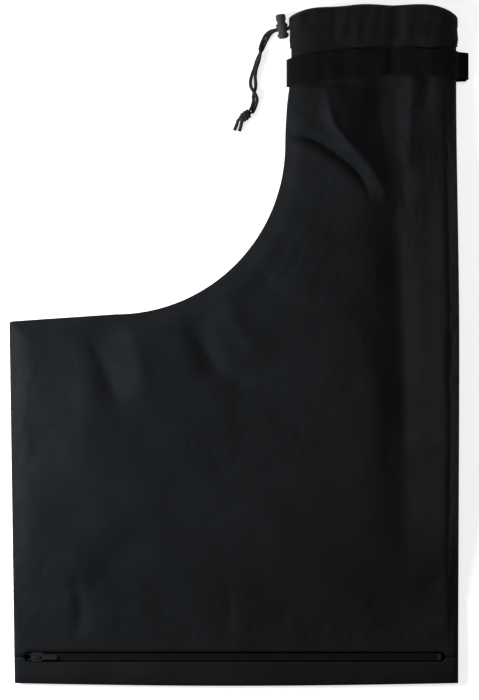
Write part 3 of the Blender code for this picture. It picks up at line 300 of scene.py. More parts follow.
def make_stage():
    """The camera straight above, a pale floor, and soft light from the upper left."""
    data = bpy.data.cameras.new("camera")
    camera = placed("camera", data)
    camera.location = (*CAMERA_PLACE, CAMERA_DISTANCE + SCALE_LEVEL)
    data.sensor_width = SENSOR_WIDTH
    data.lens = SENSOR_WIDTH * CAMERA_DISTANCE / (METRES_PER_PIXEL * PHOTO_HEIGHT)
    data.clip_end = 50.0
    bpy.context.scene.camera = camera

    bm = bmesh.new()
    bmesh.ops.create_grid(bm, x_segments=2, y_segments=2, size=6.0)
    mesh = bpy.data.meshes.new("floor")
    bm.to_mesh(mesh)
    bm.free()
    floor = placed("floor", mesh)
    floor.location.z = -0.0004
    look = bpy.data.materials.new("floor")
    look.use_nodes = True
    tree = look.node_tree
    shader = tree.nodes["Principled BSDF"]
    for name, value in (
        ("Base Color", (0.8, 0.8, 0.8, 1.0)),
        ("Roughness", 0.9),
        ("Specular IOR Level", 0.1),
        ("Emission Color", (1.0, 1.0, 1.0, 1.0)),
    ):
        shader.inputs[name].default_value = value
    glow = math_node(tree, "MULTIPLY", seen_rays(tree), FLOOR_GLOW)
    tree.links.new(glow, shader.inputs["Emission Strength"])
    floor.data.materials.append(look)

    world = bpy.data.worlds.new("studio")
    world.use_nodes = True
    background = world.node_tree.nodes["Background"]
    background.inputs["Color"].default_value = (1.0, 1.0, 1.0, 1.0)
    tree = world.node_tree
    level = math_node(tree, "MULTIPLY_ADD", seen_rays(tree), 1.0 - WORLD_LIGHT, WORLD_LIGHT)
    tree.links.new(level, background.inputs["Strength"])
    bpy.context.scene.world = world
    bpy.context.scene.view_settings.view_transform = "Standard"

    for name, place, target, size, power in LAMPS:
        light = bpy.data.lights.new(name, "AREA")
        light.energy = power
        light.shape = "SQUARE"
        light.size = size
        lamp = placed(name, light)
        lamp.location = place
        away = Vector(target) - Vector(place)
        lamp.rotation_euler = away.to_track_quat("-Z", "Y").to_euler()


# Materials


class Nodes:
    """Builds the node tree of one material."""

    def __init__(self, looks, name, roughness, specular, metallic=0.0, sheen=0.0):
        looks[name] = bpy.data.materials.new(name)
        looks[name].use_nodes = True
        self.tree = looks[name].node_tree
        self.shader = self.tree.nodes["Principled BSDF"]
        self.shader.inputs["Roughness"].default_value = roughness
        self.shader.inputs["Specular IOR Level"].default_value = specular
        self.shader.inputs["Metallic"].default_value = metallic
        self.shader.inputs["Sheen Weight"].default_value = sheen
        self.shader.inputs["Sheen Roughness"].default_value = 0.45
        self.place = self.add("ShaderNodeTexCoord").outputs["Object"]

    def add(self, kind, **values):
        """A node, with settings such as its direction by name."""
        node = self.tree.nodes.new(kind)
        for name, value in values.items():
            setattr(node, name, value)
        return node

    def set(self, node, name, value):
        """Sets an input, or links it where the value is a socket."""
        if isinstance(value, bpy.types.NodeSocket):
            self.tree.links.new(value, node.inputs[name])
        else:
            node.inputs[name].default_value = value

    def noise(self, scale, detail):
        """Fractal noise over the piece's own coordinates."""
        node = self.add("ShaderNodeTexNoise")
        self.set(node, "Vector", self.place)
        self.set(node, "Scale", scale)
        self.set(node, "Detail", detail)
        return node.outputs["Fac"]

    def bands(self, period, direction):
        """Waves with this period in metres along X, Y or DIAGONAL."""
        node = self.add("ShaderNodeTexWave", bands_direction=direction)
        self.set(node, "Vector", self.place)
        self.set(node, "Scale", 2 * math.pi / (20 * period))
        return node.outputs["Fac"]

    def math(self, operation, *values):
        return math_node(self.tree, operation, *values)

    def blend(self, first, second, share):
        """The first value's share, and the rest of the second."""
        return self.math("MULTIPLY_ADD", first, share, self.math("MULTIPLY", second, 1.0 - share))

    def weave(self, period):
        """Over and under of a plain weave, 0 to 1."""
        across = self.math("MULTIPLY_ADD", self.bands(period, "X"), 2.0, -1.0)
        along = self.math("MULTIPLY_ADD", self.bands(period, "Y"), 2.0, -1.0)
        return self.math("MULTIPLY_ADD", self.math("MULTIPLY", across, along), 0.5, 0.5)

    def colour(self, value, dark, light):
        """Base colour between two, by a value."""
        ramp = self.add("ShaderNodeValToRGB")
        self.set(ramp, "Fac", value)
        ramp.color_ramp.elements[0].position = 0.25
        ramp.color_ramp.elements[0].color = (*dark, 1.0)
        ramp.color_ramp.elements[1].position = 0.75
        ramp.color_ramp.elements[1].color = (*light, 1.0)
        self.set(self.shader, "Base Color", ramp.outputs["Color"])

    def roughness(self, scale, detail, low, high):
        """Roughness from low to high, by noise."""
        spread = self.add("ShaderNodeMapRange")
        self.set(spread, "Value", self.noise(scale, detail))
        self.set(spread, "To Min", low)
        self.set(spread, "To Max", high)
        self.set(self.shader, "Roughness", spread.outputs["Result"])

    def bump(self, *layers):
        """Bumps in metres: (height 0 to 1, depth) pairs, one on the other."""
        normal = None
        for height, depth in layers:
            node = self.add("ShaderNodeBump")
            self.set(node, "Height", height)
            self.set(node, "Distance", depth)
            self.set(node, "Strength", 1.0)
            if normal is not None:
                self.set(node, "Normal", normal)
            normal = node.outputs["Normal"]
        self.set(self.shader, "Normal", normal)


def make_looks():
    """Every material, by its name."""
    looks = {}
    made = Nodes(looks, "bag_fabric", 0.55, 0.017, sheen=0.02)
    weave = made.weave(0.00055)
    patches = made.noise(22.0, 4.0)
    made.colour(made.blend(weave, patches, 0.35), (0.0053, 0.0062, 0.0071), (0.0103, 0.0117, 0.0133))
    made.roughness(60.0, 3.0, 0.42, 0.58)
    made.bump((made.noise(140.0, 3.0), 0.00025), (weave, 0.00006))

    made = Nodes(looks, "webbing", 0.75, 0.015, sheen=0.01)
    ribs = made.bands(0.0014, "X")
    picks = made.weave(0.0009)
    fuzz = made.noise(90.0, 3.0)
    made.colour(made.blend(picks, fuzz, 0.5), (0.0034, 0.0034, 0.0038), (0.0078, 0.0078, 0.0086))
    made.roughness(120.0, 2.0, 0.62, 0.85)
    made.bump((picks, 0.00014), (ribs, 0.0001))

    made = Nodes(looks, "zip_tape", 0.8, 0.012, sheen=0.01)
    picks = made.weave(0.0005)
    made.colour(picks, (0.002, 0.002, 0.0024), (0.0045, 0.0045, 0.005))
    made.roughness(200.0, 2.0, 0.7, 0.9)
    made.bump((picks, 0.00006), (made.bands(0.0016, "DIAGONAL"), 0.00006))

    made = Nodes(looks, "cord", 0.7, 0.022, sheen=0.03)
    plaits = made.add("ShaderNodeTexVoronoi")
    made.set(plaits, "Vector", made.place)
    made.set(plaits, "Scale", 900.0)
    made.colour(plaits.outputs["Distance"], (0.038, 0.038, 0.044), (0.013, 0.013, 0.016))
    made.roughness(300.0, 2.0, 0.6, 0.8)
    made.bump((plaits.outputs["Distance"], 0.00035), (made.noise(1200.0, 2.0), 0.0001))

    made = Nodes(looks, "lock_plastic", 0.4, 0.06)
    made.colour(made.noise(300.0, 3.0), (0.03, 0.03, 0.034), (0.048, 0.049, 0.055))
    made.roughness(200.0, 3.0, 0.34, 0.5)
    made.bump((made.noise(2200.0, 3.0), 0.00004))

    made = Nodes(looks, "zip_teeth", 0.4, 0.022)
    made.colour(made.noise(500.0, 2.0), (0.005, 0.005, 0.0054), (0.0095, 0.0095, 0.01))
    made.roughness(700.0, 2.0, 0.3, 0.5)
    made.bump((made.noise(1800.0, 2.0), 0.00003))

    made = Nodes(looks, "zip_metal", 0.35, 0.037, metallic=0.15)
    # Lighter on sharp convex edges by pointiness, with noise: partly edge wear on the black paint, partly a painted
    # highlight standing in for glints on the slider's and pull's edges
    edge = made.add("ShaderNodeNewGeometry").outputs["Pointiness"]
    wear_and_glint = made.math("MULTIPLY_ADD", made.math("SUBTRACT", edge, 0.5), 6.0, made.noise(500.0, 3.0))
    made.colour(wear_and_glint, (0.003, 0.003, 0.0034), (0.013, 0.013, 0.014))
    made.roughness(900.0, 3.0, 0.22, 0.45)
    made.bump((made.noise(1500.0, 3.0), 0.00004))

    made = Nodes(looks, "spring_steel", 0.3, 0.5, metallic=1.0)
    made.colour(made.noise(800.0, 2.0), (0.42, 0.42, 0.44), (0.62, 0.62, 0.64))
    made.roughness(900.0, 2.0, 0.22, 0.4)
    made.bump((made.noise(2500.0, 2.0), 0.00002))

    made = Nodes(looks, "thread", 0.6, 0.12, sheen=0.02)
    made.colour(made.noise(900.0, 2.0), (0.004, 0.0042, 0.005), (0.0085, 0.0088, 0.01))
    made.roughness(900.0, 2.0, 0.5, 0.7)
    made.bump((made.bands(0.0004, "DIAGONAL"), 0.00006))
    return looks


# Shape of the bag, the same as in the part's source


def ease(start, end, value):
    """0 before start, 1 after end, and a smooth step between them."""
    t = np.clip((np.asarray(value) - start) / (end - start), 0.0, 1.0)
    return t * t * (3.0 - 2.0 * t)


def mix(low, high, share):
    return low + (high - low) * share


def right_x(y):
    return RIGHT_X - NECK_LEAN * ease(0.0, STRAP_Y, y) - HEM_TAPER / 5 * ease(0.0, BOTTOM_Y, y)


def left_x(y):
    return LEFT_X + HEM_TAPER * (TOE_Y - y) / (TOE_Y - BOTTOM_Y)


def neck_left_x(y):
    lower = STRAP_Y - STRAP_WIDTH
    return NECK_LEFT_X + CINCH * (0.35 * ease(THROAT_Y, lower, y) + 0.65 * ease(lower - 0.02, STRAP_Y, y))


def left_path(v):
    """Points of the left boundary: side seam, toe top, throat arc, then neck seam."""
    v = np.asarray(v, float)
    corner = np.array((float(left_x(TOE_Y - TOE_FALL)), TOE_Y - TOE_FALL))
    y = mix(UPPER_HEM_Y, corner[1], np.clip(v / TOE_SHARE, 0, 1))
    side = np.stack((left_x(y), y), -1)
    arc_start = np.array((THROAT_X, TOE_Y))
    straight = np.linalg.norm(arc_start - corner)
    run = np.clip((v - TOE_SHARE) / THROAT_SHARE, 0, 1) * (straight + THROAT_RADIUS * math.pi / 2)
    share = np.clip(run / straight, 0, 1)[..., None]
    top = corner + (arc_start - corner) * share
    angle = -math.pi / 2 + np.maximum(run - straight, 0.0) / THROAT_RADIUS
    arc = np.stack((THROAT_X + THROAT_RADIUS * np.cos(angle), THROAT_Y + THROAT_RADIUS * np.sin(angle)), -1)
    y = mix(THROAT_Y, PANEL_TOP_Y, np.clip((v - TOE_SHARE - THROAT_SHARE) / (1 - TOE_SHARE - THROAT_SHARE), 0, 1))
    neck = np.stack((neck_left_x(y), y), -1)
    middle = np.where((run < straight)[..., None], top, arc)
    low = (v <= TOE_SHARE)[..., None]
    high = (v > TOE_SHARE + THROAT_SHARE)[..., None]
    return np.where(low, side, np.where(high, neck, middle))


def right_path(v):
    """Points of the right boundary that rows from left_path(v) run to."""
    v = np.asarray(v, float)
    opposite = mix(UPPER_HEM_Y, TOE_Y, 0.5)
    low = mix(UPPER_HEM_Y, opposite, v / TOE_SHARE)
    middle = mix(opposite, THROAT_Y, (v - TOE_SHARE) / THROAT_SHARE)
    y = np.where(v <= TOE_SHARE, low, np.where(v <= TOE_SHARE + THROAT_SHARE, middle, left_path(v)[..., 1]))
    return np.stack((right_x(y), y), -1)


def crowded(u, share, length, left_roll, right_roll):
    """Distance along a row, crowded towards both seams."""
    start = left_roll * (1 - np.cos(math.pi / 2 * np.clip(u / share, 0, 1)))
    end = length - right_roll * (1 - np.cos(math.pi / 2 * np.clip((1 - u) / share, 0, 1)))
    middle = mix(left_roll, length - right_roll, (u - share) / (1 - 2 * share))
    return np.where(u < share, start, np.where(u > 1 - share, end, middle))


def front_roll(y):
    wide = mix(BODY_ROLL, NECK_ROLL, ease(0.0, THROAT_Y, y))
    return mix(STRIP_SIDE_ROLL, wide, ease(UPPER_HEM_Y, UPPER_HEM_Y + 0.06, y))


def row_plan(u, v, share, left_roll, right_roll):
    """Plan positions along rows that fan round the throat."""
    left, right = left_path(v), right_path(v)
    length = np.linalg.norm(right - left, axis=-1)
    along = crowded(u, share, length, left_roll, right_roll)
    return left + (right - left) * (along / length)[..., None]


def front_plan(u, v):
    return row_plan(u, v, ROLL_SHARE, front_roll(left_path(v)[..., 1]), front_roll(right_path(v)[..., 1]))


def back_plan(u, v):
    return row_plan(u, v, BACK_SHARE, BACK_ROLL, BACK_ROLL)


EDGE_SHARES = np.linspace(0, 1, 241)
EDGE_POINTS = [left_path(EDGE_SHARES), right_path(EDGE_SHARES)]


def side_distances(plan):
    """How far points of the plan are from the left boundary and from the right one."""
    flat = plan.reshape(-1, 2)
    found = []
    for line in EDGE_POINTS:
        best = np.full(len(flat), 1e9)
        for start, end in zip(line[:-1], line[1:]):
            run = end - start
            share = np.clip(((flat - start) @ run) / (run @ run), 0.0, 1.0)
            best = np.minimum(best, ((flat - start - share[:, None] * run) ** 2).sum(1))
        found.append(np.sqrt(best).reshape(plan.shape[:-1]))
    return found


def edge_distance(plan):
    """How far points of the plan are from the nearest side boundary."""
    return np.minimum(*side_distances(plan))


def seam_z(y):
    end = STRAP_Y - STRAP_WIDTH / 2
    return SEAM_HEIGHT + MOUTH_SEAM_RISE * ease(end - SEAM_RUN, end, y)


def plateau(y):
    body = mix(HEM_Z, BODY_HEIGHT, ease(UPPER_HEM_Y, UPPER_HEM_Y + 0.07, y))
    neck = mix(body, NECK_HEIGHT, ease(0.02, 0.12, y))
    return mix(neck, MOUTH_HEIGHT, ease(STRAP_Y - 0.06, STRAP_Y - STRAP_WIDTH / 2 - 0.004, y))


def fold_height(x, y, soft=False):
    """Height of the creases and ridges at points, fading out towards their lower ends if soft."""
    total = np.zeros_like(x)
    for start, end, width, height in FOLDS:
        line = np.array(end) - np.array(start)
        along = np.clip(((x - start[0]) * line[0] + (y - start[1]) * line[1]) / (line @ line), 0, 1)
        across = np.hypot(x - start[0] - line[0] * along, y - start[1] - line[1] * along)
        shown = ease(1.0, 0.55, along) if soft else 1.0
        total = total + height * np.exp(-((across / width) ** 2)) * shown
    return total


def rounded(distance, width):
    share = np.minimum(distance / width, 1.0)
    return np.sqrt(np.maximum(0.0, 1.0 - (1.0 - share) ** 2))


def front_z(x, y, distance, sides=None):
    """Height of the front, with flatter rolls at its sides where both distances are given."""
    rise = rounded(distance, front_roll(y))
    high = plateau(y)
    if sides is not None:
        free = ease(STRAP_Y - 0.018, STRAP_Y - 0.085, y) * ease(UPPER_HEM_Y + 0.016, UPPER_HEM_Y + 0.06, y)
        left = side_rise(sides[0], LEFT_ROLL, LEFT_DOME, LEFT_ROLL_SHARE)
        right = side_rise(sides[1], RIGHT_ROLL, RIGHT_DOME, RIGHT_ROLL_SHARE)
        rise = mix(rise, np.minimum(left, right), free)
        low = mix(HEM_Z, BODY_HEIGHT, ease(UPPER_HEM_Y, UPPER_HEM_Y + 0.13, y))
        high = mix(low, high, ease(0.0, 0.12, y))
    calm = ease(UPPER_HEM_Y, UPPER_HEM_Y + 0.02, y) * rise
    return mix(seam_z(y), high, rise) + fold_height(x, y, sides is not None) * calm


def sloped(distance, width):
    """Part of a parabola: 0 at the edge, where it is steepest, and 1 from width on."""
    share = np.minimum(distance / width, 1.0)
    return 1.0 - (1.0 - share) ** 2


def side_rise(away, roll, dome, share):
    """Rise beside a seam: a tight roll's share, and the rest from a wide dome."""
    return share * sloped(away, roll) + (1 - share) * ease(0.0, dome, away)


def back_middle(y):
    end = STRAP_Y - STRAP_WIDTH / 2 - 0.008
    return mix(HALF_FABRIC, STRAP_STACK + HALF_FABRIC, ease(end - LIFT_RUN, end, y))


def hem_bow(x, y):
    share = (x - LEFT_X) / (RIGHT_X - LEFT_X)
    return HEM_BOW * np.sin(math.pi * share) * ease(LOWER_HEM_Y, BOTTOM_Y, y)


def hem_closing(x):
    past_end = np.maximum(ZIP_LEFT - x, x - ZIP_RIGHT)
    return (ZIP_REVEAL / 2 - GAP) * ease(0.0, 0.004, past_end)


def casing_top(x):
    left, right = neck_left_x(PANEL_TOP_Y), right_x(PANEL_TOP_Y)
    droop = np.exp(-(x - left) / DROOP_LEFT_RUN) + 0.9 * np.exp(-(right - x) / DROOP_RIGHT_RUN)
    ripple = 0.0006 * np.sin((x - left) / 0.0085)
    return TOP_Y - CASING_DROOP * np.minimum(droop, 1.0) - 0.0006 + ripple


def casing_lean(x, y):
    low = PANEL_TOP_Y - CASING_OVERLAP
    middle = (neck_left_x(low) + right_x(low)) / 2
    return x - 0.002 * (y - low) / CASING_HEIGHT * (x - middle) / (NECK_WIDTH / 2)


# Small wrinkles that only the looks have, and the pieces of fabric


def waves(x, y, scale, seed, stretch, angle, height):
    """Smooth noise over the plan up to a height, stretched along one direction."""
    turn_x = x * math.cos(angle) + y * math.sin(angle)
    turn_y = -x * math.sin(angle) + y * math.cos(angle)
    flat = np.stack((turn_x.ravel() * scale * stretch[0], turn_y.ravel() * scale * stretch[1]), 1)
    values = [noise.noise((a, b, seed)) for a, b in flat]
    return np.array(values).reshape(x.shape) * height


def stroke(x, y, points, width, height):
    """Height of one crease or ridge along a line of points, fading out at both ends."""
    points = np.array([(at.x, at.y) for at in smooth_line([(*point, 0.0) for point in points], 0.005)])
    lengths = np.linalg.norm(np.diff(points, axis=0), axis=1)
    best = np.full(x.shape, 1e9)
    along = np.zeros_like(x)
    for i, (start, end) in enumerate(zip(points[:-1], points[1:])):
        run = end - start
        share = np.clip(((x - start[0]) * run[0] + (y - start[1]) * run[1]) / (run @ run), 0, 1)
        away = np.hypot(x - start[0] - run[0] * share, y - start[1] - run[1] * share)
        nearer = away < best
        best = np.where(nearer, away, best)
        along = np.where(nearer, lengths[:i].sum() + share * lengths[i], along)
    whole = lengths.sum()
    fade = ease(0.0, 0.25 * whole, along) * ease(whole, 0.75 * whole, along)
    return height * np.exp(-((best / width) ** 1.6)) * (0.25 + 0.75 * fade)


def front_wrinkles(x, y, sides):
    """Creases below the strap, puckers by the seams, soft folds in the body and gathers by the strap."""
    distance = np.minimum(*sides)
    grooves = 0.0
    for away, (place, depth) in zip(sides, SEAM_GROOVES):
        grooves = grooves - depth * np.exp(-(((away - place) / SEAM_GROOVE_WIDTH) ** 2))
    drawn = grooves * ease(STRAP_Y - 0.016, STRAP_Y - 0.03, y)
    for width, height, points in CREASES:
        drawn = drawn + stroke(x, y, points, width, height)
    drawn = drawn * ease(0.017, 0.026, STRAP_Y - y)
    pucker = waves(x, y, *PUCKERS) * np.exp(-distance / 0.012)
    slack = waves(x, y, *SLACK) + waves(x, y, *FINE_SLACK)
    gather = waves(x, y, *STRAP_GATHERS) * np.exp(-np.abs(y - STRAP_Y) / 0.045)
    hem = waves(x, y, *HEM_WAVES) * np.exp(-(y - UPPER_HEM_Y) / 0.022)
    total = pucker + slack + gather + hem + drawn
    under_strap = ease(0.022, 0.015, np.abs(y - STRAP_Y + 0.004))
    total = mix(total, -0.0003 - 0.5 * np.abs(total), under_strap)
    return total * ease(0.0, 0.01, distance) * ease(UPPER_HEM_Y + 0.001, UPPER_HEM_Y + 0.01, y)


def grid_piece(name, points, look, replaced, thickness=FABRIC, closed=False):
    """A sheet through an array of points, with thickness, that replaces CAD nodes."""
    rows, columns = points.shape[:2]
    mesh = bpy.data.meshes.new(name)
    bm = bmesh.new()
    verts = [[bm.verts.new(points[r, c]) for c in range(columns)] for r in range(rows)]
    for r in range(rows - 1):
        for c in range(columns if closed else columns - 1):
            following = (c + 1) % columns
            bm.faces.new((verts[r][c], verts[r][following], verts[r + 1][following], verts[r + 1][c]))
    bm.to_mesh(mesh)
    bm.free()
    mesh.shade_smooth()
    made = placed(name, mesh)
    made.data.materials.append(look)
    shell = made.modifiers.new("Thickness", "SOLIDIFY")
    shell.thickness = thickness
    shell.offset = 0.0
    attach(made, "bag")
    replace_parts(made, *replaced)
    return made


def settled(points):
    """The front's points after a short cloth simulation, in which its fabric has a little to spare."""
    rows, columns = (
        np.unique(np.linspace(0, count - 1, few).round().astype(int))
        for count, few in zip(points.shape, SETTLING_GRID)
    )
    coarse = points[np.ix_(rows, columns)]
    mesh = bpy.data.meshes.new("settling")
    across = len(columns)
    faces = [
        (r * across + c, r * across + c + 1, (r + 1) * across + c + 1, (r + 1) * across + c)
        for r in range(len(rows) - 1)
        for c in range(across - 1)
    ]
    mesh.from_pydata(coarse.reshape(-1, 3).tolist(), [], faces)
    cloth = placed("settling", mesh)
    held = cloth.vertex_groups.new(name="held")
    for r in range(len(rows)):
        for c in range(across):
            ring = min(r, c, len(rows) - 1 - r, across - 1 - c)
            by_strap = float(ease(STRAP_Y - 0.045, STRAP_Y - 0.02, coarse[r, c, 1]))
            weight = max(1.0 - ring / HELD_RINGS, by_strap)
            if weight > 0.0:
                held.add([r * across + c], weight, "REPLACE")
    step = cloth.modifiers.new("Cloth", "CLOTH")
    for name, value in CLOTH.items():
        setattr(step.settings, name, value)
    step.settings.effector_weights.gravity = 0.0
    step.settings.vertex_group_mass = "held"
    step.point_cache.frame_start = 1
    step.point_cache.frame_end = SETTLING_FRAMES
    for number in range(1, SETTLING_FRAMES + 1):
        bpy.context.scene.frame_set(number)
    graph = bpy.context.evaluated_depsgraph_get()
    after = cloth.evaluated_get(graph).to_mesh()
    place = np.empty(len(after.vertices) * 3)
    after.vertices.foreach_get("co", place)
    moved = place.reshape(coarse.shape) - coarse
    cloth.evaluated_get(graph).to_mesh_clear()
    bpy.data.objects.remove(cloth)
    bpy.data.meshes.remove(mesh)
    bpy.context.scene.frame_set(1)
    size = np.linalg.norm(moved, axis=-1, keepdims=True)
    moved = moved * np.tanh(size / MOST_SETTLING) * MOST_SETTLING / np.maximum(size, 1e-9)
    full = np.empty_like(points)
    for axis in range(3):
        wide = np.array([np.interp(np.arange(points.shape[1]), columns, row) for row in moved[..., axis]])
        high = [np.interp(np.arange(points.shape[0]), rows, column) for column in wide.T]
        full[..., axis] = np.array(high).T
    return points + full


def kept_up(z):
    """Heights with a soft lowest limit, so that the front stays clear of the back."""
    return LOWEST_FRONT + LIMIT_SOFTNESS * np.logaddexp(0.0, (z - LOWEST_FRONT) / LIMIT_SOFTNESS)


def make_front(look):
    """The front panel with its folds and small wrinkles."""
    u, v = np.meshgrid(*(np.linspace(0, 1, count) for count in FRONT_GRID))
    plan = front_plan(u, v)
    sides = side_distances(plan)
    distance = np.minimum(*sides)
    x, y = plan[..., 0], plan[..., 1]
    y = y - hem_closing(x) * ease(0.02, 0.0, v)
    z = kept_up(front_z(x, y, distance, sides) + front_wrinkles(x, y, sides))
    return grid_piece("bag_front", settled(np.stack((x, y, z), -1)), look, ["front_panel"])


def make_back(look):
    """The back panel, flat on the table."""
    u, v = np.meshgrid(np.linspace(0, 1, 90), np.linspace(0, 1, 150))
    first = 4 / 24
    upper = back_plan(u, np.clip((v - first) / (1 - first), 0, 1))
    distance = edge_distance(upper)
    upper_z = mix(seam_z(upper[..., 1]), back_middle(upper[..., 1]), rounded(distance, BACK_ROLL))
    y = mix(BOTTOM_Y, UPPER_HEM_Y, 1 - np.cos(math.pi / 2 * np.clip(v / first, 0, 1)))
    left, right = left_x(y), right_x(y)
    along = crowded(u, BACK_SHARE, right - left, BACK_ROLL, BACK_ROLL)
    x = left + along
    rise = rounded(np.minimum(along, right - left - along), BACK_ROLL) * rounded(y - BOTTOM_Y, BACK_ROLL)
    lower = np.stack((x, y - hem_bow(x, y), mix(SEAM_HEIGHT, HALF_FABRIC, rise)), -1)
    whole = np.where((v < first)[..., None], lower, np.concatenate((upper, upper_z[..., None]), -1))
    return grid_piece("bag_back", whole, look, ["back_panel"])


def make_strip(look):
    """The strip between the zip and the hem."""
    u, v = np.meshgrid(np.linspace(0, 1, 320), np.linspace(0, 1, 26))
    y = mix(BOTTOM_Y, LOWER_HEM_Y, 1 - np.cos(math.pi / 2 * v))
    left, right = left_x(y), right_x(y)
    along = crowded(u, 3 / 30, right - left, STRIP_SIDE_ROLL, STRIP_SIDE_ROLL)
    x = left + along
    rise = rounded(np.minimum(along, right - left - along), STRIP_SIDE_ROLL)
    rise = rise * rounded(y - BOTTOM_Y, STRIP_HEM_ROLL)
    z = mix(SEAM_HEIGHT, HEM_Z, rise) + waves(x, y, *STRIP_WAVES) * rise
    y = y + hem_closing(x) * ease(0.85, 1.0, v) - hem_bow(x, y)
    return grid_piece("bag_strip", np.stack((x, y, z), -1), look, ["bottom_strip"])


def mouth_line(steps_front, steps_back):
    """Middle line of the fabric round the mouth, with its outward normals."""
    u = np.linspace(0, 1, steps_front)
    front = front_plan(u, np.ones_like(u))
    z = front_z(front[:, 0], front[:, 1], edge_distance(front))
    line = [np.stack((front[:, 0], z), -1)]
    u = np.linspace(1, 0, steps_back)[1:]
    back = back_plan(u, np.ones_like(u))
    z = mix(seam_z(back[:, 1]), back_middle(back[:, 1]), rounded(edge_distance(back), BACK_ROLL))
    line.append(np.stack((back[:, 0], z), -1))
    line = np.concatenate(line)
    tangent = np.gradient(line, axis=0)
    tangent /= np.linalg.norm(tangent, axis=1)[:, None]
    return line, np.stack((-tangent[:, 1], tangent[:, 0]), -1)


def make_casing(look):
    """The gathered band round the mouth."""
    line, normals = mouth_line(200, 90)
    leg = FABRIC + GAP + 0.0001
    low = PANEL_TOP_Y - CASING_OVERLAP
    hem = low + 0.001 * np.sin(line[:, 0] * 95.0 + 0.6) + 0.0007 * np.sin(line[:, 0] * 210.0)
    depths = np.concatenate((np.linspace(CASING_HEIGHT, CHANNEL_END, 16)[:-1], np.linspace(CHANNEL_END, 0, 26)))
    stations = (0, 0.001, CHANNEL_START, CHANNEL_DEPTH, CHANNEL_END)
    swell = np.interp(depths, stations, (0.0, 0.0013, CHANNEL, CHANNEL, leg))
    outs = np.concatenate((swell, -swell[::-1][1:]))
    depths = np.concatenate((depths, depths[::-1][1:]))
    top = casing_top(line[:, 0])
    rows = []
    for depth, out in zip(depths, outs):
        at = line + normals * out
        y = top - depth
        if depth > CHANNEL_END:
            share = (depth - CHANNEL_END) / (CASING_HEIGHT - CHANNEL_END)
            y = mix(top - CHANNEL_END, hem if out > 0 else low, share)
        rows.append(np.stack((casing_lean(at[:, 0], y), y, at[:, 1]), -1))
    points = np.stack(rows)
    x, y = points[..., 0], points[..., 1]
    folds = waves(x, y, *CASING_FOLDS) + 0.5 + waves(x, y, *CASING_CREASES)
    folds = np.maximum(folds, TUCK_RISE * np.exp(-(((x - CASING_TUCK_X) / TUCK_SHOULDER) ** 2)))
    folds = folds * (1.0 - np.exp(-(((x - CASING_TUCK_X) / TUCK_WIDTH) ** 2)))
    outer = (outs > 0) * ease(CASING_HEIGHT, CASING_HEIGHT - 0.012, depths) * ease(0.0, 0.004, depths)
    lift = FOLD_LIFT * np.maximum(folds, 0.0) * outer[:, None] * ease(0.0, 0.5, normals[:, 1])
    points[..., 0] += normals[None, :, 0] * lift
    points[..., 2] += normals[None, :, 1] * lift
    return grid_piece("bag_casing", points, look, ["drawcord_casing"])


def strap_middle(x):
    peak = 0.62
    share = (x - neck_left_x(STRAP_Y)) / (right_x(STRAP_Y) - neck_left_x(STRAP_Y))
    left = STRAP_Y - STRAP_SAG_LEFT * ((peak - share) / peak) ** 2
    return np.where(share < peak, left, STRAP_Y - STRAP_SAG_RIGHT * ((share - peak) / (1 - peak)) ** 2)


def strap_line():
    """The strap's middle line seen from its end."""
    lowest = float(strap_middle(NECK_LEFT_X)) - STRAP_WIDTH / 2
    left, right = float(neck_left_x(lowest)), float(right_x(lowest))
    seam = float(seam_z(STRAP_Y))
    rise = float(plateau(lowest)) - seam
    off = HALF_FABRIC + GAP + STRAP_THICKNESS / 2 + 0.0002
    angles = [math.radians(degrees) for degrees in np.linspace(0, 78, 14)]

    def roll_point(angle, edge, side):
        out = Vector((-side * math.cos(angle) / NECK_ROLL, math.sin(angle) / rise)).normalized()
        on = Vector((edge + side * NECK_ROLL * (1 - math.cos(angle)), seam + rise * math.sin(angle)))
        return on + out * off

    over = [roll_point(angle, left, 1) for angle in angles]
    for x in np.linspace(left + NECK_ROLL, right - NECK_ROLL, 46):
        band = np.array([[x, float(strap_middle(x)) + STRAP_WIDTH * share] for share in np.linspace(-0.5, 0.5, 5)])
        highest = float(front_z(band[:, 0], band[:, 1], edge_distance(band)).max())
        over.append(Vector((x, highest + off)))
    over += [roll_point(angle, right, -1) for angle in reversed(angles)]
    low = STRAP_THICKNESS / 2
    upper = STRAP_STACK + GAP / 2 + STRAP_THICKNESS / 2
    turn = (upper - low) / 2
    end = RIGHT_X + HALF_FABRIC + STRAP_LOOP - STRAP_THICKNESS / 2
    over += [Vector((right + off + 0.0006, mix(upper, seam, 0.35))), Vector((right + off + 0.0022, upper))]
    for degrees in np.linspace(90, -90, 13):
        angle = math.radians(degrees)
        over.append(Vector((end - turn + turn * math.cos(angle), low + turn + turn * math.sin(angle))))
    loop = left - off - 0.0008
    over += [Vector((mix(end - turn, left + 0.0015, share), low)) for share in np.linspace(0, 1, 30)[1:]]
    for x, z in ((0.0007, 0.0007), (0.0, 0.0022), (0.0002, 0.004)):
        over.append(Vector((loop + x, low + z)))
    return over


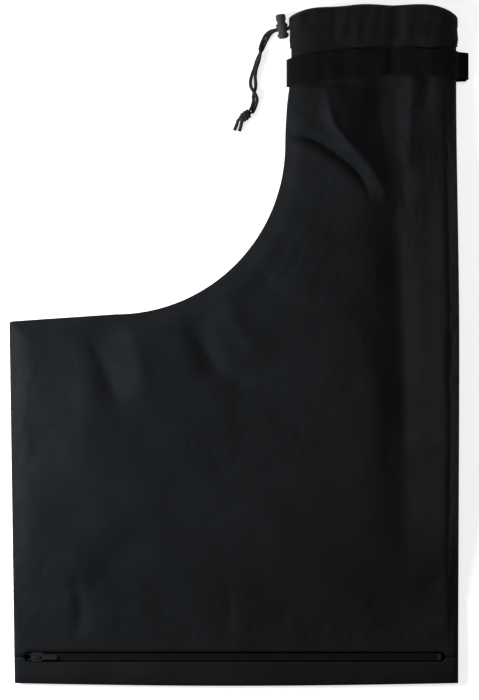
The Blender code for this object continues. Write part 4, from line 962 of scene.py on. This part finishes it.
def make_strap(look):
    """The webbing ring and its lapped end."""
    line = strap_line()
    left, right = min(p.x for p in line), max(p.x for p in line)
    across = np.linspace(-0.5, 0.5, 15)
    points = np.zeros((len(across), len(line), 3))
    ends = float(strap_middle(left)), float(strap_middle(right))

    def lower_middle(x):
        return mix(ends[0], ends[1], (x - left) / (right - left))

    for i, at in enumerate(line):
        middle = mix(lower_middle(at.x), float(strap_middle(at.x)), float(ease(STRAP_THICKNESS, SEAM_HEIGHT, at.y)))
        for j, share in enumerate(across):
            wander = 0.00025 * math.sin(at.x * 130.0 + 2.0 * share)
            points[j, i] = (at.x, middle + STRAP_WIDTH * share + wander, at.y)
    ring = grid_piece("webbing_ring", points[::-1], look, ["neck_strap"], STRAP_THICKNESS, True)
    bevel = ring.modifiers.new("Soft edges", "BEVEL")
    bevel.width = 0.00025
    bevel.segments = 2
    bevel.limit_method = "ANGLE"
    bevel.angle_limit = math.radians(60)

    end = right - STRAP_THICKNESS - GAP
    xs = np.linspace(end - LAP_LENGTH, end, 60)
    ys = np.linspace(-0.5, 0.5, 15)
    points = np.zeros((len(ys), len(xs), 3))
    for i, x in enumerate(xs):
        cut = 0.003 * max(0.0, 1 - (x - xs[0]) / 0.003)
        for j, share in enumerate(ys):
            y = lower_middle(x) - 0.0012 + (STRAP_WIDTH - 2 * cut) * share
            points[j, i] = (x, y, 1.5 * STRAP_THICKNESS + GAP)
    grid_piece("webbing_lap", points, look, ["strap_lap"], STRAP_THICKNESS)


def make_tapes(look):
    """The zip's two tapes, from seam to seam."""
    start = float(left_x(ZIP_Y)) + STRIP_SIDE_ROLL + 0.0005
    end = float(right_x(ZIP_Y)) - STRIP_SIDE_ROLL - 0.0005
    for name, side in (("upper", 1), ("lower", -1)):
        x, t = np.meshgrid(np.linspace(start, end, 330), np.linspace(0, 1, 12))
        y = ZIP_Y + side * (TAPE_INNER + TAPE_WIDTH * t)
        points = np.stack((x, y, np.full_like(x, ZIP_HEIGHT)), -1)
        if side < 0:
            points = points[::-1]
        grid_piece("tape_" + name, points, look, ["zip_tape_" + name], TAPE_THICKNESS)


# Cords


def smooth_line(route, spacing):
    """Evenly spaced points of a smooth curve through the route's points."""
    points = [Vector(p) for p in route]
    points = [2 * points[0] - points[1], *points, 2 * points[-1] - points[-2]]
    dense = []
    for a, b, c, d in zip(points, points[1:], points[2:], points[3:]):
        for step in range(16):
            t = step / 16
            dense.append(
                0.5 * (2 * b + (c - a) * t + (2 * a - 5 * b + 4 * c - d) * t**2 + (3 * b - a - 3 * c + d) * t**3)
            )
    dense.append(points[-2])
    reach = [0.0]
    for a, b in zip(dense, dense[1:]):
        reach.append(reach[-1] + (b - a).length)
    count = max(2, round(reach[-1] / spacing) + 1)
    line, at = [], 0
    for i in range(count):
        wanted = reach[-1] * i / (count - 1)
        while at < len(reach) - 2 and reach[at + 1] < wanted:
            at += 1
        line.append(dense[at].lerp(dense[at + 1], (wanted - reach[at]) / (reach[at + 1] - reach[at])))
    return line


def on_table(line):
    """A cord's line, nowhere lower than lying on the table."""
    for point in line:
        point.z = max(point.z, CORD_SHOWN / 2)
    return line


def cord_tube(name, line, look, radius=CORD_SHOWN / 2):
    """A braided cord along a line."""
    curve = bpy.data.curves.new(name, "CURVE")
    curve.dimensions = "3D"
    curve.bevel_depth = radius
    curve.bevel_resolution = 6
    curve.use_fill_caps = True
    spline = curve.splines.new("POLY")
    spline.points.add(len(line) - 1)
    for point, place in zip(spline.points, line):
        point.co = (*place, 1.0)
    made = placed(name, curve)
    made.data.materials.append(look)
    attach(made, "bag")
    return made


def make_spring(look):
    """The cord lock's spring, a copy of its CAD node with its own mesh."""
    spring = placed("spring_coil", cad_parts["cord_lock_spring"].data.copy())
    spring.data.materials.clear()
    spring.data.materials.append(look)
    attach(spring, "bag")
    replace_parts(spring, "cord_lock_spring")
    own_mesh(spring)
    return spring


def make_cords(look, spring):
    """The two free ends, the knot that joins them and their tails."""
    line, _ = mouth_line(29, 15)
    inside = []
    for x, z in line[1:-2]:
        y = float(casing_top(x)) - CORD_DEPTH
        inside.append(Vector((float(casing_lean(x, y)), y, z)))
    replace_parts(cord_tube("drawcord_in_casing", smooth_line(inside, ROUTE_SPACING), look), "drawcord")
    for name, height, route, ends in (
        ("upper", CORD_STACK, UPPER_ROUTE, (0, 1)),
        ("lower", -CORD_STACK, LOWER_ROUTE, (-1, -2)),
    ):
        end, before = inside[ends[0]], inside[ends[1]]
        start = end + (end - before).normalized() * 2 * GAP
        through = (LOCK_RADIUS + 0.0002, 0.75 * LOCK_RADIUS, -0.75 * LOCK_RADIUS, -LOCK_RADIUS - 0.0002)
        whole = [start, *(LOCK_CENTRE + LOCK_ACROSS * place + Vector((0, 0, height)) for place in through)]
        whole += [LOCK_BASE + Vector(point) for point in route]
        path = on_table(smooth_line(whole, ROUTE_SPACING))
        made = cord_tube("strand_" + name, path, look)
        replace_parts(made, "cord_strand_" + name)
    for name, route in (("left", LEFT_TAIL), ("right", RIGHT_TAIL)):
        line = [LOCK_BASE + Vector(point) for point in (KNOT_END, *route)]
        line = on_table(smooth_line(line, ROUTE_SPACING))
        made = cord_tube("tail_" + name, line, look)
        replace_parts(made, "cord_tail_" + name)
    knot = make_knot(look)


def make_knot(look):
    """The overhand knot: two turns of the doubled cord round its core."""
    centre = LOCK_BASE + Vector(KNOT_FROM_LOCK)
    lying = Matrix.Rotation(KNOT_HEADING, 3, "Z")
    path = []
    turns = 3.1
    count = 90
    for i in range(count + 1):
        share = i / count
        angle = 2 * math.pi * turns * share + 0.6
        radius = 0.0031 * (0.8 + 0.2 * math.sin(math.pi * share))
        along = 0.0086 * (share - 0.5)
        place = Vector((along, radius * math.cos(angle), 0.86 * radius * math.sin(angle)))
        path.append(centre + lying @ place)
    knot = cord_tube("knot_turns", path, look, 0.0015)
    middle = [centre + lying @ Vector((along, 0, 0)) for along in (-0.0062, -0.002, 0.002, 0.0062)]
    core = cord_tube("knot_core", middle, look, 0.0022)
    core.parent = knot
    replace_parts(knot, "cord_knot")
    return knot


# Stitches


def make_stitches(look):
    """Two rows of stitches above the zip and one below it."""
    rows = []
    xs = np.arange(ZIP_LEFT - 0.004, ZIP_RIGHT + 0.004, STITCH_PITCH)
    for offset in (0.0016, 0.0058):
        plan = np.stack((xs, np.full_like(xs, UPPER_HEM_Y + offset)), -1)
        sides = side_distances(plan)
        z = front_z(plan[:, 0], plan[:, 1], np.minimum(*sides), sides)
        z = z + front_wrinkles(plan[:, 0], plan[:, 1], sides)
        rows.append((plan, z + HALF_FABRIC + 0.0001))
    plan = np.stack((xs, np.full_like(xs, LOWER_HEM_Y - 0.0016)), -1)
    rise = rounded(plan[:, 1] - BOTTOM_Y, STRIP_HEM_ROLL)
    rows.append((plan, mix(SEAM_HEIGHT, HEM_Z, rise) + HALF_FABRIC + 0.0001))
    bm = bmesh.new()
    for plan, z in rows:
        for i in range(len(plan) - 1):
            start = Vector((*plan[i], z[i]))
            end = Vector((*plan[i + 1], z[i + 1]))
            add_stitch(bm, start.lerp(end, 0.12), start.lerp(end, 0.8))
    mesh = bpy.data.meshes.new("stitches")
    bm.to_mesh(mesh)
    bm.free()
    mesh.shade_smooth()
    made = placed("stitches", mesh)
    made.data.materials.append(look)
    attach(made, "bag")


def add_stitch(bm, start, end):
    """One stitch: a short bent capsule that dips into the cloth at both ends."""
    run = end - start
    side = run.normalized().cross(Vector((0, 0, 1))) * THREAD_RADIUS
    up = Vector((0, 0, THREAD_RADIUS))
    rings = []
    for share, size, lift in ((0.0, 0.35, -0.6), (0.2, 0.9, 0.4), (0.8, 0.9, 0.4), (1.0, 0.35, -0.6)):
        middle = start + run * share + up * lift
        ring = [middle + (side * math.cos(a) + up * math.sin(a)) * size for a in THREAD_ANGLES]
        rings.append([bm.verts.new(point) for point in ring])
    for first, second in zip(rings, rings[1:]):
        for i in range(5):
            bm.faces.new((first[i], second[i], second[(i + 1) % 5], first[(i + 1) % 5]))
    bm.faces.new(rings[0])
    bm.faces.new(reversed(rings[-1]))


def dress_nodes(looks):
    """Better materials on the CAD nodes that stay."""
    for look, names in (
        ("lock_plastic", ("cord_lock_body", "cord_lock_plunger")),
        ("zip_teeth", ("zip_teeth_upper", "zip_teeth_lower")),
        ("zip_metal", ("zip_slider", "zip_pull", "zip_top_stop_upper", "zip_top_stop_lower", "zip_bottom_stop")),
    ):
        for name in names:
            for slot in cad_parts[name].material_slots:
                slot.material = looks[look]


make_stage()
looks = make_looks()
make_cords(looks["cord"], make_spring(looks["spring_steel"]))
front = make_front(looks["bag_fabric"])
back = make_back(looks["bag_fabric"])
strip = make_strip(looks["bag_fabric"])
casing = make_casing(looks["bag_fabric"])
make_strap(looks["webbing"])
make_tapes(looks["zip_tape"])
make_stitches(looks["thread"])
dress_nodes(looks)
